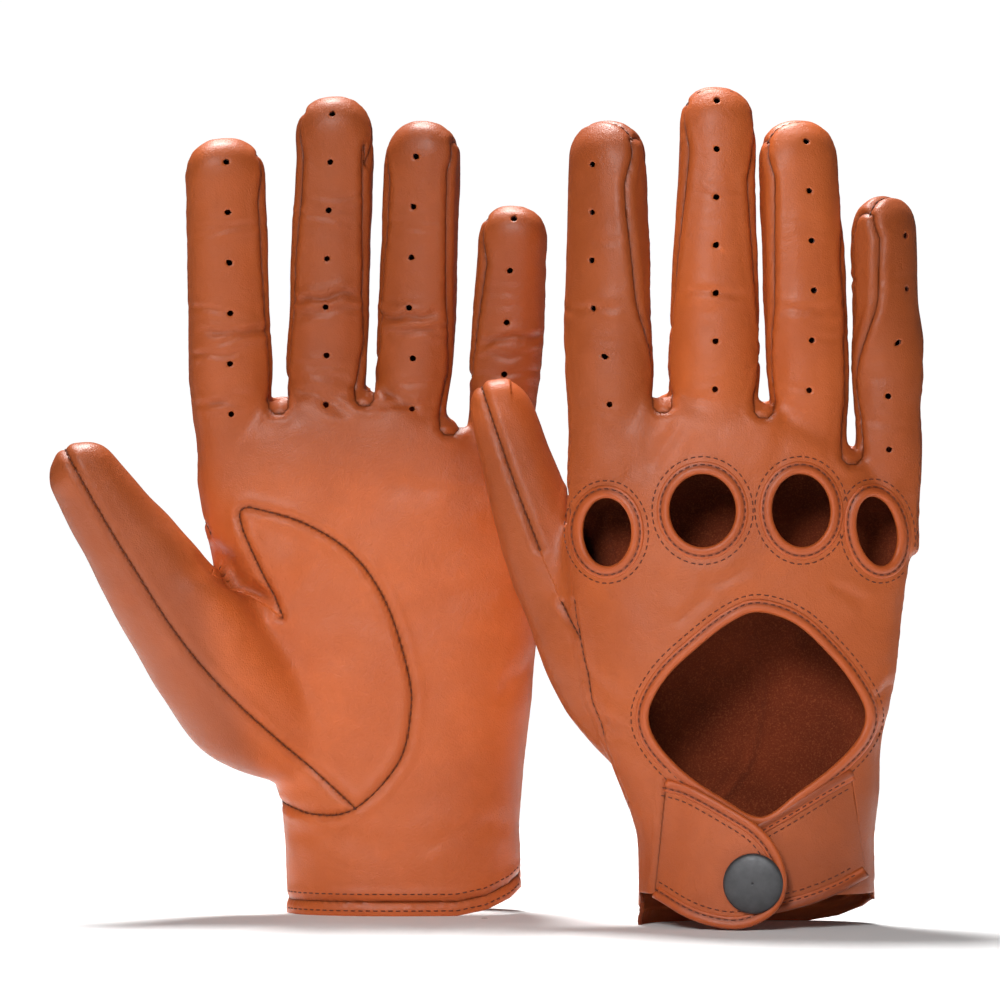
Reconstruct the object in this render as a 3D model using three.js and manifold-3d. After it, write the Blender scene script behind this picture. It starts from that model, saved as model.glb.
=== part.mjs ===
// A pair of unlined leather driving gloves, standing upright on their cuffs. Millimetres, +Z up.
// The left glove shows its palm to -Y and stands behind; the right glove shows its back to -Y.
//
// Each glove is drawn in a frame of its own: x across with the thumb at -x, +y out of the back of the hand,
// z from the cuff to the fingertips. Lofts give the shape of the hand, and posed() curls the points
// of their rings.
// Thin shells of those lofts are cut along the seams into the pieces that a glove is sewn from.
import * as THREE from "three";
import { mergeVertices } from "three/addons/utils/BufferGeometryUtils.js";
import Module from "manifold-3d";

const wasm = await Module();
wasm.setup();

// ---- Driving dimensions ----
const LEATHER = 1.2; // wall of every leather panel
const SEAM_GAP = 0.4; // clearance between pieces that are sewn edge to edge
const FLAP_GAP = 0.7; // clearance round a flap, which swings
const BINDING_WIDTH = 2.8; // of the folded leather strip on a bound edge
const BINDING_PROUD = 0.35; // how far a binding stands out of its panel, on each side
const CUFF_BINDING_HEIGHT = 4; // folded band along the palm's cuff edge
const VENT_HEIGHT = 9.5; // the back panel ends this far above the cuff edge, which leaves a vent at each side
const FOURCHETTE_HALF = 4.6; // half width of the strip between two fingers
const FINGER_DEPTH_SHARE = 0.84; // half depth of a finger, as a share of its half width
const THUMB_DEPTH_SHARE = 0.8;
const CUFF_HALF_DEPTH = 20;
const CURL = 9; // how far the middle fingertip bends towards the palm
const ARCH = 3.2; // how far the sides of the hand lie below its middle, at the knuckles

// The snap fastener, a 17 mm cap over a ring-spring socket.
const SNAP = {
  x: -1.3,
  z: 13.2,
  capRadius: 8.4,
  capHeight: 1.5,
  socketRadius: 5.2,
  socketHeight: 1.2,
  bore: 2.55,
  studRadius: 2,
  studHeight: 2.1,
  studBaseRadius: 3.2,
  studBaseHeight: 0.3,
  postRadius: 5.2,
  postHeight: 0.8,
  shankRadius: 1.2,
  clearance: 0.4,
};
const HINGE_CLEARANCE = 1.1; // bare width beside the line that a flap bends on

// Outlines on the back of the hand, as [share of the palm's half width, height].
const OPENING = [
  [0.12, 89.3], [-0.05, 86.5], [-0.26, 79.3], [-0.48, 70.8], [-0.63, 61.5], [-0.645, 53.2],
  [-0.5, 44], [-0.247, 36.4], [0.058, 30.8], [0.384, 37.8], [0.68, 45.6], [0.85, 53.2],
  [0.86, 60.5], [0.74, 69], [0.56, 78], [0.35, 86],
];
// The strap and the underlap run from the top of their seam round their free end to its foot, in mm.
const STRAP = [
  [-25.5, 41.2], [-18, 39.2], [-8, 34.3], [1, 28.9], [6.6, 22], [8.8, 13.5],
  [5.6, 6], [-3.6, 1.6], [-16, 3.2], [-28.8, 9],
];
const UNDERLAP = [
  [26, 44], [19, 40.2], [8, 33.6], [-3, 27], [-9.5, 20],
  [-9.5, 9.5], [-3, 4.6], [10, 6.4], [21, 10], [30.5, 14.6],
];
// Knuckle holes: share of the palm's half width, height, half width, half height.
const KNUCKLES = {
  index: [-0.776, 110.6, 7.6, 10.2],
  middle: [-0.222, 116.8, 10, 10.9],
  ring: [0.348, 116.8, 8.9, 10.9],
  little: [0.8, 110.8, 6.4, 10.6],
};
// The palm's cuff edge, which rises to a vent at the little finger's side.
const CUFF_EDGE = [[-1.3, 0], [0.45, 0], [0.7, 1.6], [0.9, 4.6], [1.02, 8], [1.3, 8.4]];
// The seam that sets the thumb into the palm, from the thumb's crotch round the ball of the thumb.
const THENAR = [
  [-1.03, 99], [-0.62, 84], [-0.72, 100], [-0.8, 113], [-0.74, 115.6], [-0.42, 111.2], [-0.13, 102.2],
  [0.05, 88.2], [0.146, 68.6], [0.137, 57.4], [0.014, 43.4], [-0.37, 30.5], [-0.75, 28.6], [-1.15, 33.6],
];
const THENAR_FOOT = 11; // the point of THENAR where the thumb's own seam ends

// Palm sections: height, centre, half width, half depth. The top follows the crotches.
// Fingers: foot and tip in the plane of the hand, and the half width at each.
// Thumb: points along its middle with the half width there.
const LEFT = {
  name: "left",
  palm: [
    [0, 0, 33.5, CUFF_HALF_DEPTH], [22, -0.6, 32.9, 20], [35, -1.3, 34.5, 19.5], [49, -2.3, 37, 19.2],
    [63, -4, 40.3, 18.6], [80, -6, 43.6, 17.6], [97, -8, 45.8, 16.2],
  ],
  knuckles: { x: -10.3, halfWidth: 48.4, halfDepth: 13, peakX: -18, peakZ: 149.5 },
  fingers: {
    index: { foot: [-48, 112], tip: [-50.8, 219.5], half: [12.2, 11] },
    middle: { foot: [-23, 114], tip: [-19.2, 231.5], half: [11.9, 10.7] },
    ring: { foot: [1, 112], tip: [6, 224.5], half: [11.3, 10.5] },
    little: { foot: [25.2, 106], tip: [31.8, 200.5], half: [10.5, 9.6] },
  },
  thumb: [
    [-24, -5, 47, 13], [-42, -8, 58, 18.5], [-54, -10, 72, 18], [-65, -12, 88, 16.2], [-76, -14, 104, 14.2],
    [-84.5, -15.5, 116, 12.2], [-89.5, -16.5, 124, 10.6],
  ],
};
const RIGHT = {
  name: "right",
  palm: [
    [0, 0, 33.2, CUFF_HALF_DEPTH], [22, 0, 32.8, 20], [35, -1.6, 35.4, 19.5], [49, -3.9, 38.4, 19.2],
    [63, -4.75, 42.2, 18.6], [80, -5.5, 45.2, 17.6], [97, -5.4, 47.4, 16.2],
  ],
  knuckles: { x: -3.9, halfWidth: 49.3, halfDepth: 13, peakX: -15, peakZ: 150 },
  fingers: {
    index: { foot: [-41, 112], tip: [-42, 225], half: [13.6, 10.6] },
    middle: { foot: [-12.1, 114], tip: [-11.2, 234.5], half: [14.3, 10] },
    ring: { foot: [16, 112], tip: [11.5, 225], half: [12.2, 10.8] },
    little: { foot: [37.4, 104], tip: [35.6, 204.3], half: [10.4, 9.4] },
  },
  thumb: [
    [-24, -5, 47, 13], [-34, -7, 58, 14.6], [-44, -9, 72, 14.6], [-52, -11, 88, 13.2],
    [-59, -12.5, 104, 12.2],
    [-64, -14, 120, 11.2], [-68.5, -15, 134, 10], [-71.5, -15.5, 144, 9.4],
  ],
};
const FINGERS = ["index", "middle", "ring", "little"];
const CROTCH_FALL = 0.009; // 1/mm: the crotches drop by this times the square of the distance from the peak
const PAIR_SPACING = [-99.2, 56]; // from the right glove's cuff centre to the left one's

const LEATHER_COLOUR = 0xb0592c;
const TRIM_COLOUR = 0x9c4a26;
const METAL_COLOUR = 0x4c4e50;
const materials = {
  panel: new THREE.MeshStandardMaterial({ color: LEATHER_COLOUR, roughness: 0.5, metalness: 0 }),
  trim: new THREE.MeshStandardMaterial({ color: TRIM_COLOUR, roughness: 0.48, metalness: 0 }),
  metal: new THREE.MeshStandardMaterial({ color: METAL_COLOUR, roughness: 0.42, metalness: 0.85 }),
};

// ---- Solids ----
const REACH = 300; // longer than anything, for knives
const toSolid = (geometry) => {
  const bare = geometry.clone();
  bare.deleteAttribute("normal");
  bare.deleteAttribute("uv");
  const merged = mergeVertices(bare, 1e-4);
  return new wasm.Manifold(
    new wasm.Mesh({
      numProp: 3,
      vertProperties: merged.attributes.position.array,
      triVerts: new Uint32Array(merged.index.array),
    }),
  );
};

const toGeometry = (solid) => {
  const mesh = solid.getMesh();
  const positions = new Float32Array(mesh.numVert * 3);
  for (let i = 0; i < mesh.numVert; i++) {
    positions.set(mesh.vertProperties.subarray(i * mesh.numProp, i * mesh.numProp + 3), i * 3);
  }
  return new THREE.BufferGeometry()
    .setAttribute("position", new THREE.BufferAttribute(positions, 3))
    .setIndex(new THREE.BufferAttribute(mesh.triVerts, 1));
};

const united = (solids) => solids.reduce((a, b) => a.add(b));

// The largest body of a solid: the knives leave slivers where they graze a facet.
const largest = (solid) => solid.decompose().reduce((a, b) => (a.volume() > b.volume() ? a : b));

// A closed tube through rings of points, each ring turning the same way round.
function loft(hand, flatRings) {
  const rings = flatRings.map((points) => points.map((p) => posed(hand, p)));
  const sides = rings[0].length;
  const positions = rings.flat().flatMap((p) => [p.x, p.y, p.z]);
  const indices = [];
  for (let r = 0; r < rings.length - 1; r++) {
    for (let i = 0; i < sides; i++) {
      const a = r * sides + i;
      const b = r * sides + ((i + 1) % sides);
      indices.push(a, b, b + sides, a, b + sides, a + sides);
    }
  }
  for (const [ring, flip] of [[0, true], [rings.length - 1, false]]) {
    const centre = rings[ring].reduce((s, p) => s.add(p), new THREE.Vector3()).divideScalar(sides);
    const c = positions.length / 3;
    positions.push(centre.x, centre.y, centre.z);
    for (let i = 0; i < sides; i++) {
      const a = ring * sides + i;
      const b = ring * sides + ((i + 1) % sides);
      indices.push(...(flip ? [b, a, c] : [a, b, c]));
    }
  }
  return toSolid(
    new THREE.BufferGeometry()
      .setAttribute("position", new THREE.Float32BufferAttribute(positions, 3))
      .setIndex(indices),
  );
}

// A rounded-rectangle ring about centre, across and deep along two unit vectors.
function ring(centre, across, deep, halfWidth, halfDepth, sides, squareness) {
  const points = [];
  for (let i = 0; i < sides; i++) {
    const angle = (2 * Math.PI * i) / sides;
    const c = Math.cos(angle);
    const s = Math.sin(angle);
    const a = halfWidth * Math.sign(c) * Math.abs(c) ** (2 / squareness);
    const b = halfDepth * Math.sign(s) * Math.abs(s) ** (2 / squareness);
    points.push(centre.clone().addScaledVector(across, a).addScaledVector(deep, b));
  }
  return points;
}

// An upright prism over an outline in the plane of the hand, from depth y0 to depth y1.
function prism(outline, y0, y1) {
  const shape = new THREE.Shape(outline.map(([x, z]) => new THREE.Vector2(x, z)));
  const geometry = new THREE.ExtrudeGeometry(shape, { depth: y1 - y0, bevelEnabled: false });
  return toSolid(geometry.rotateX(Math.PI / 2).translate(0, y1, 0));
}

const block = (x0, x1, y0, y1, z0, z1) => prism([[x0, z0], [x1, z0], [x1, z1], [x0, z1]], y0, y1);

// A closed outline with its edges moved outwards, or inwards where the distance is negative.
// The last edge, from the last point back to the first, may move by a distance of its own.
function grown(outline, distance, lastDistance = distance) {
  const n = outline.length;
  const points = outline.map(([x, z]) => new THREE.Vector2(x, z));
  const turn = Math.sign(THREE.ShapeUtils.area(points));
  const normals = points.map((p, i) => {
    const edge = points[(i + 1) % n].clone().sub(p).normalize();
    return new THREE.Vector2(turn * edge.y, -turn * edge.x);
  });
  return points.map((p, i) => {
    const [before, after] = [normals[(i + n - 1) % n], normals[i]];
    const [d, e] = [i === 0 ? lastDistance : distance, i === n - 1 ? lastDistance : distance];
    const dot = before.dot(after);
    const spread = 1 - dot * dot;
    if (spread < 1e-6) return [p.x + before.x * d, p.y + before.y * d];
    const q = p
      .clone()
      .addScaledVector(before, (d - dot * e) / spread)
      .addScaledVector(after, (e - dot * d) / spread);
    return [q.x, q.y];
  });
}

// A smooth closed outline through the given points.
const smooth = (points, count) =>
  new THREE.CatmullRomCurve3(points.map(([x, z]) => new THREE.Vector3(x, 0, z)), true, "centripetal")
    .getSpacedPoints(count)
    .slice(0, -1)
    .map((p) => [p.x, p.z]);

const ellipse = (x, z, rx, rz, count) =>
  Array.from({ length: count }, (_, i) => {
    const angle = (2 * Math.PI * i) / count;
    return [x + rx * Math.cos(angle), z + rz * Math.sin(angle)];
  });

// ---- The hand's own shape: drawn flat, with the depth of each point then shifted by the pose ----
const CURL_START = 96; // height where the hand starts to curl
const ARCH_START = 52; // height where the arch starts
const ARCH_FULL = 108; // and where it is complete

function posed(hand, p) {
  const reach = Math.max(0, (p.z - CURL_START) / (hand.fingers.middle.tip[1] - CURL_START));
  const palm = palmAt(hand, p.z);
  const u = Math.min(1, Math.abs((p.x - palm.x) / palm.halfWidth));
  const arch = ARCH * u * u * THREE.MathUtils.smoothstep(p.z, ARCH_START, ARCH_FULL);
  return new THREE.Vector3(p.x, p.y - CURL * reach ** 2 - arch, p.z);
}

// A slab across the whole hand between two depths, bent with the pose.
const SLAB_HEIGHTS = [-REACH, ARCH_START, 80, ARCH_FULL, 140, 175, 210, 240, REACH];
const SLAB_SHARES = [-1, -0.5, 0.5, 1];
function slab(hand, y0, y1) {
  const rings = SLAB_HEIGHTS.map((z) => {
    const xs = SLAB_SHARES.map((u) => onPalm(hand, [u, z])[0]);
    const columns = [-REACH, ...xs, REACH];
    const along = (y) => columns.map((x) => new THREE.Vector3(x, y, z));
    return [...along(y0), ...along(y1).reverse()];
  });
  return loft(hand, rings);
}

const ACROSS = new THREE.Vector3(1, 0, 0);
const DEEP = new THREE.Vector3(0, 1, 0);
const PALM_SIDES = 20;
const FINGER_SIDES = 10;
const RIM_POINTS = 18; // round the back opening
const KNUCKLE_POINTS = 12; // round a knuckle hole
const TURNED_SIDES = 14; // of the snap's turned parts
const PALM_SQUARENESS = 2.5;
const FINGER_SQUARENESS = 2.25;
const THUMB_SQUARENESS = 2;
// The palm's top: [below the crotches, share of the half depth].
const PALM_TOP = [[14, 1], [5, 0.86], [0, 0.34]];
// A fingertip: [distance from the tip in half widths, share of the half width].
const TIP = [[1, 1], [0.42, 0.84], [0.05, 0.4]];

const FOOT_SHARE = 0.72; // a finger's foot is slimmer than the finger, so that it stays inside the palm
const FINGER_SPANS = [0.3, 0.62]; // rings between foot and tip, as shares of the length

const crotchHeight = (hand, x) => hand.knuckles.peakZ - CROTCH_FALL * (x - hand.knuckles.peakX) ** 2;

// The palm's centre and half width at a height, straight between its sections.
function palmAt(hand, z) {
  const { x, halfWidth, halfDepth, peakZ } = hand.knuckles;
  const top = [peakZ - PALM_TOP[0][0], x, halfWidth, halfDepth];
  const sections = [...hand.palm, top];
  const k = Math.max(1, sections.findIndex((s) => s[0] >= z));
  const [low, high] = z > top[0] ? [top, top] : [sections[k - 1], sections[k]];
  const share = high === low ? 0 : (z - low[0]) / (high[0] - low[0]);
  return { x: low[1] + share * (high[1] - low[1]), halfWidth: low[2] + share * (high[2] - low[2]) };
}

const onPalm = (hand, [u, z]) => {
  const palm = palmAt(hand, z);
  return [palm.x + u * palm.halfWidth, z];
};

// offset moves the wall in or out: 0 is the outside of the leather and -LEATHER its inside.
function palmSolid(hand, offset, below = 0) {
  const section = (x, z, halfWidth, halfDepth) => {
    const centre = new THREE.Vector3(x, 0, z);
    return ring(centre, ACROSS, DEEP, halfWidth + offset, halfDepth + offset, PALM_SIDES, PALM_SQUARENESS);
  };
  const rings = hand.palm.map(([z, x, w, d], i) => section(x, z - (i ? 0 : below), w, d));
  const { x, halfWidth, halfDepth } = hand.knuckles;
  for (const [drop, share] of PALM_TOP) {
    const top = section(x, 0, halfWidth, halfDepth * share);
    top.forEach((p) => {
      p.z = crotchHeight(hand, p.x) - drop + offset;
    });
    rings.push(top);
  }
  return loft(hand, rings);
}

const axisOf = (finger) => {
  const foot = new THREE.Vector3(finger.foot[0], 0, finger.foot[1]);
  const tip = new THREE.Vector3(finger.tip[0], 0, finger.tip[1]);
  const along = tip.clone().sub(foot).normalize();
  return { foot, tip, along, across: DEEP.clone().cross(along), length: tip.distanceTo(foot) };
};

function fingerSolid(hand, name, offset, footDrop = 0) {
  const finger = hand.fingers[name];
  const { foot, along, across, length } = axisOf(finger);
  const [footHalf, tipHalf] = finger.half;
  const stations = [[-footDrop, FOOT_SHARE, 0], ...FINGER_SPANS.map((span) => [span * length, 1, 0])];
  stations.push(...TIP.map(([back, share]) => [length - back * tipHalf, share, share < 1 ? offset : 0]));
  const rings = stations.map(([t, share, end]) => {
    const half = THREE.MathUtils.lerp(footHalf, tipHalf, Math.max(0, t) / length) * share;
    const centre = foot.clone().addScaledVector(along, t + end);
    const halfDepth = half * FINGER_DEPTH_SHARE;
    return ring(centre, across, DEEP, half + offset, halfDepth + offset, FINGER_SIDES, FINGER_SQUARENESS);
  });
  return loft(hand, rings);
}

function thumbSolid(hand, offset) {
  const points = hand.thumb.map(([x, y, z]) => new THREE.Vector3(x, y, z));
  const section = (centre, along, half) => {
    const across = DEEP.clone().cross(along).normalize();
    const deep = along.clone().cross(across);
    const halfDepth = half * THUMB_DEPTH_SHARE;
    return ring(centre, across, deep, half + offset, halfDepth + offset, FINGER_SIDES, THUMB_SQUARENESS);
  };
  const rings = points.map((p, i) => {
    const [before, after] = [points[Math.max(i - 1, 0)], points[Math.min(i + 1, points.length - 1)]];
    return section(p, after.clone().sub(before).normalize(), hand.thumb[i][3]);
  });
  const last = points.at(-1);
  const along = last.clone().sub(points.at(-2)).normalize();
  const tipHalf = hand.thumb.at(-1)[3];
  for (const [back, share] of TIP.slice(1)) {
    const centre = last.clone().addScaledVector(along, (1 - back) * tipHalf + offset);
    rings.push(section(centre, along, tipHalf * share));
  }
  return loft(hand, rings);
}

// ---- Hinge lines of the strap and the underlap, along their seams on the outside of the wrist ----
const HINGE_STANDOFF = 0.3;

// The depth of the wrist's outside at a point of the hand's plane.
function wristDepth(hand, x, z) {
  const k = Math.max(1, hand.palm.findIndex((s) => s[0] >= z));
  const [low, high] = [hand.palm[k - 1], hand.palm[k]];
  const share = (z - low[0]) / (high[0] - low[0]);
  const [centre, halfWidth, halfDepth] = [1, 2, 3].map((j) => THREE.MathUtils.lerp(low[j], high[j], share));
  const u = Math.abs((x - centre) / halfWidth);
  return halfDepth * (1 - u ** PALM_SQUARENESS) ** (1 / PALM_SQUARENESS);
}

function hingeOf(hand, outline) {
  const ends = [outline[0], outline.at(-1)];
  const [top, foot] = ends.map(([x, z]) => new THREE.Vector3(x, wristDepth(hand, x, z) + HINGE_STANDOFF, z));
  return { foot, axis: top.clone().sub(foot).normalize() };
}

const turned = (geometry, hinge, angle) =>
  geometry.applyMatrix4(
    new THREE.Matrix4()
      .makeTranslation(hinge.foot)
      .multiply(new THREE.Matrix4().makeRotationAxis(hinge.axis, angle))
      .multiply(new THREE.Matrix4().makeTranslation(hinge.foot.clone().negate())),
  );

// ---- The pieces of one glove ----
const side = (hand, sign) => (sign > 0 ? slab(hand, SEAM_GAP / 2, REACH) : slab(hand, -REACH, -SEAM_GAP / 2));
const CAVITY_DROP = 10; // the inside runs on below the cuff edge, so that the cuff is open
const FOOT_DROP = 6; // and below a finger's foot

// The outside of the hand with its fingers, moved in or out by an offset.
const handSolid = (hand, offset, drop = 0, footDrop = 0) =>
  united([palmSolid(hand, offset, drop), ...FINGERS.map((name) => fingerSolid(hand, name, offset, footDrop))]);

// A leather sheet over the hand between two offsets of its surface.
const handSheet = (hand, from, to) =>
  handSolid(hand, to).subtract(handSolid(hand, from, CAVITY_DROP, FOOT_DROP));
const palmSheet = (hand, from, to) => palmSolid(hand, to).subtract(palmSolid(hand, from, CAVITY_DROP));

// Fourchettes: the walls that two fingers turn to each other, with the web between them.
const WEB_DEPTH = 7; // the strip starts this far below the web
const STRIP_FOOT = 0.42; // the strip's edge from a finger's axis, at the foot, in half widths
const STRIP_TIP = 2; // and at the tip, in mm
const TIP_RUN = 0.25; // the strip ends this far below the tip, in half widths
function fourchetteOutline(hand, [nameA, nameB]) {
  const fingers = [hand.fingers[nameA], hand.fingers[nameB]];
  const [a, b] = fingers.map((finger) => ({ ...axisOf(finger), half: finger.half }));
  const middle = (a.foot.x + b.foot.x) / 2;
  const low = crotchHeight(hand, middle) - WEB_DEPTH;
  const lowX = ({ foot, along }) => foot.x + (along.x / along.z) * (low - foot.z);
  const top = ({ tip, along, half }) => tip.clone().addScaledVector(along, -TIP_RUN * half[1]);
  return [
    [lowX(a) + a.half[0] * STRIP_FOOT, low],
    [lowX(b) - b.half[0] * STRIP_FOOT, low],
    [top(b).x - STRIP_TIP, top(b).z],
    [middle, REACH],
    [top(a).x + STRIP_TIP, top(a).z],
  ];
}

// Everything on one side of the line that parts the thumb's two panels: through the tip and the seam's foot.
function thumbSide(hand, foot, sign) {
  const tip = hand.thumb.at(-1);
  const along = new THREE.Vector2(foot[0] - tip[0], foot[1] - tip[2]).normalize();
  const across = new THREE.Vector2(along.y, -along.x);
  const start = new THREE.Vector2(tip[0], tip[2])
    .addScaledVector(along, -REACH)
    .addScaledVector(across, (sign * SEAM_GAP) / 2);
  const end = start.clone().addScaledVector(along, 3 * REACH);
  const far = (p) => p.clone().addScaledVector(across, sign * REACH);
  const corners = [start, end, far(end), far(start)];
  return prism(corners.map((p) => [p.x, p.y]), -REACH, REACH);
}

const THUMB_CLEARANCE = 0.6; // between the thumb and the wall of the hand it stands on

function thumbPanels(hand, cavity, patch) {
  const shell = thumbSolid(hand, 0).add(handSolid(hand, 0)).subtract(cavity);
  const everywhere = block(-REACH, REACH, -REACH, REACH, -REACH, REACH);
  const outside = everywhere.subtract(handSolid(hand, THUMB_CLEARANCE));
  const ball = prism(grown(patch, -SEAM_GAP / 2), -REACH, REACH).intersect(side(hand, -1));
  const thumb = shell.intersect(outside.add(ball));
  return [1, -1].map((sign) => thumb.intersect(thumbSide(hand, patch[THENAR_FOOT], sign)));
}

// Everything below a line across the palm at the given height over the cuff edge.
const belowCuffLine = (hand, height) => {
  const line = CUFF_EDGE.map(([u, z]) => [u * palmAt(hand, 0).halfWidth, z + height]);
  return prism([[line.at(-1)[0], -REACH], [line[0][0], -REACH], ...line], -REACH, 0);
};

// A flap of the wrist: its panel, and the binding round its free edges, less the seat of its snap.
// The last edge of the outline is the flap's seam.
function flapSolids(hand, outline, seat) {
  const back = side(hand, 1);
  const whole = grown(outline, 0, -HINGE_CLEARANCE);
  const inside = (gap) => grown(outline, gap - BINDING_WIDTH, HINGE_CLEARANCE);
  const panel = palmSheet(hand, -LEATHER, 0)
    .intersect(back)
    .intersect(prism(whole, 0, REACH))
    .intersect(prism(inside(0), -1, REACH));
  const binding = palmSheet(hand, -LEATHER - BINDING_PROUD, BINDING_PROUD)
    .intersect(back)
    .intersect(prism(whole, 0, REACH))
    .subtract(prism(inside(SEAM_GAP), -1, REACH));
  return [panel.subtract(seat), binding.subtract(seat)];
}

// What the snap takes out of a flap: a hole for the shank, and a flat to seat on, pressed into each face.
// The outer part stands the rise above the leather.
function snapSeat(place, outerRadius, rise, innerRadius) {
  const column = (radius, y0, y1) => {
    const reach = radius + SNAP.clearance;
    return prism(ellipse(place.x, place.z, reach, reach, KNUCKLE_POINTS), y0, y1);
  };
  return column(SNAP.shankRadius, -1, REACH)
    .add(column(outerRadius, place.y + rise, REACH))
    .add(column(innerRadius, -1, place.y - LEATHER));
}

function gloveParts(hand) {
  const cavity = handSolid(hand, -LEATHER, CAVITY_DROP, FOOT_DROP).add(thumbSolid(hand, -LEATHER));
  const shell = handSolid(hand, 0).subtract(cavity);
  const [back, front] = [side(hand, 1), side(hand, -1)];
  const patch = THENAR.map((p) => onPalm(hand, p));
  const soft = {};

  const pairs = FINGERS.slice(1).map((name, i) => [FINGERS[i], name]);
  let sewn = shell;
  for (const names of pairs) {
    const outline = fourchetteOutline(hand, names);
    const strip = prism(outline, -REACH, REACH).intersect(slab(hand, -FOURCHETTE_HALF, FOURCHETTE_HALF));
    soft["fourchette_" + names.join("_")] = shell.intersect(strip);
    const half = FOURCHETTE_HALF + SEAM_GAP;
    sewn = sewn.subtract(prism(grown(outline, SEAM_GAP), -REACH, REACH).intersect(slab(hand, -half, half)));
  }

  [soft.thumb_outer_panel, soft.thumb_inner_panel] = thumbPanels(hand, cavity, patch);
  soft.palm_panel = sewn
    .intersect(front)
    .subtract(prism(grown(patch, SEAM_GAP / 2), -REACH, REACH))
    .subtract(belowCuffLine(hand, CUFF_BINDING_HEIGHT + SEAM_GAP));
  soft.cuff_binding = palmSheet(hand, -LEATHER - BINDING_PROUD, BINDING_PROUD)
    .intersect(front)
    .intersect(belowCuffLine(hand, CUFF_BINDING_HEIGHT))
    .subtract(belowCuffLine(hand, 0));

  const opening = smooth(OPENING.map((p) => onPalm(hand, p)), RIM_POINTS);
  const flapRoom = prism(grown(STRAP, FLAP_GAP), 0, REACH).add(prism(grown(UNDERLAP, FLAP_GAP), 0, REACH));
  const boundSheet = handSheet(hand, -LEATHER - BINDING_PROUD, BINDING_PROUD).intersect(back);
  const rim = (outline) =>
    prism(grown(outline, BINDING_WIDTH), 0, REACH).subtract(prism(outline, -1, REACH + 1));
  const binding = (outline) => boundSheet.intersect(rim(outline));
  soft.opening_binding = binding(opening).subtract(flapRoom);
  soft.back_panel = sewn
    .intersect(back)
    .intersect(block(-REACH, REACH, -REACH, REACH, VENT_HEIGHT, REACH))
    .subtract(prism(grown(opening, BINDING_WIDTH + SEAM_GAP), 0, REACH))
    .subtract(flapRoom);
  for (const [name, [u, z, rx, rz]] of Object.entries(KNUCKLES)) {
    const [x] = onPalm(hand, [u, z]);
    const hole = ellipse(x, z, rx, rz, KNUCKLE_POINTS);
    soft["knuckle_binding_" + name] = binding(hole);
    soft.back_panel = soft.back_panel.subtract(prism(grown(hole, BINDING_WIDTH + SEAM_GAP), 0, REACH));
  }

  // The strap closes over the underlap. It stands off by the height of the snap between them.
  const hinge = hingeOf(hand, STRAP);
  const faceY = wristDepth(hand, SNAP.x, SNAP.z);
  const standOff = SNAP_STACK + LEATHER;
  const toSnap = new THREE.Vector3(SNAP.x, faceY, SNAP.z).sub(hinge.foot);
  const lift = Math.asin(standOff / toSnap.clone().cross(hinge.axis).length());
  const raised = toSnap.add(new THREE.Vector3(0, standOff, 0));
  const seat = raised.applyAxisAngle(hinge.axis, -lift).add(hinge.foot);
  const cap = new THREE.Vector3(seat.x, faceY, seat.z);
  const stud = new THREE.Vector3(SNAP.x, faceY, SNAP.z);
  const capSeat = snapSeat(cap, SNAP.capRadius, BINDING_PROUD, SNAP.socketRadius);
  const studSeat = snapSeat(stud, SNAP.studBaseRadius, 0, SNAP.postRadius);
  const [strapPanel, strapBinding] = flapSolids(hand, STRAP, capSeat);
  [soft.underlap_panel, soft.underlap_binding] = flapSolids(hand, UNDERLAP, studSeat);

  const meshes = [];
  const add = (name, geometry, material) => {
    const mesh = new THREE.Mesh(geometry, material);
    mesh.name = hand.name + "_" + name;
    meshes.push(mesh);
  };
  const leatherFor = (name) => (name.includes("binding") ? materials.trim : materials.panel);
  for (const [name, solid] of Object.entries(soft)) {
    add(name, toGeometry(largest(solid)), leatherFor(name));
  }
  const lifted = (geometry) => turned(geometry, hinge, lift);
  add("strap_panel", lifted(toGeometry(largest(strapPanel))), materials.panel);
  add("strap_binding", lifted(toGeometry(largest(strapBinding))), materials.trim);
  add("snap_cap", lifted(snapCap().translate(...cap)), materials.metal);
  add("snap_socket", lifted(snapSocket().translate(...cap)), materials.metal);
  add("snap_stud", snapStud().translate(...stud), materials.metal);
  add("snap_post", snapPost().translate(...stud), materials.metal);
  return meshes;
}

// ---- The snap: four turned parts about an axis along +y, from the outer face of the leather they clamp ----
const SNAP_STACK = SNAP.studHeight + 3 * SNAP.clearance; // between the underlap and the strap
const lathe = (profile) =>
  new THREE.LatheGeometry(profile.map(([r, y]) => new THREE.Vector2(r, y)), TURNED_SIDES);
const INNER_FACE = -LEATHER - SNAP.clearance;

// The cap, with a short shank into the leather.
function snapCap() {
  const { clearance, capRadius, capHeight, shankRadius } = SNAP;
  const rim = BINDING_PROUD + clearance;
  return lathe([
    [0, -LEATHER], [shankRadius, -LEATHER], [shankRadius, rim], [capRadius, rim],
    [capRadius, rim + 0.45 * capHeight], [capRadius * 0.9, rim + 0.82 * capHeight],
    [capRadius * 0.6, rim + capHeight], [0, rim + capHeight],
  ]);
}

// The socket, a ring under the strap.
function snapSocket() {
  const { bore, socketRadius, socketHeight } = SNAP;
  const [foot, rim] = [INNER_FACE - socketHeight, INNER_FACE - 0.4 * socketHeight];
  return lathe([
    [bore, INNER_FACE], [bore, foot], [socketRadius * 0.9, foot], [socketRadius, rim],
    [socketRadius, INNER_FACE], [bore, INNER_FACE],
  ]);
}

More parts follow.
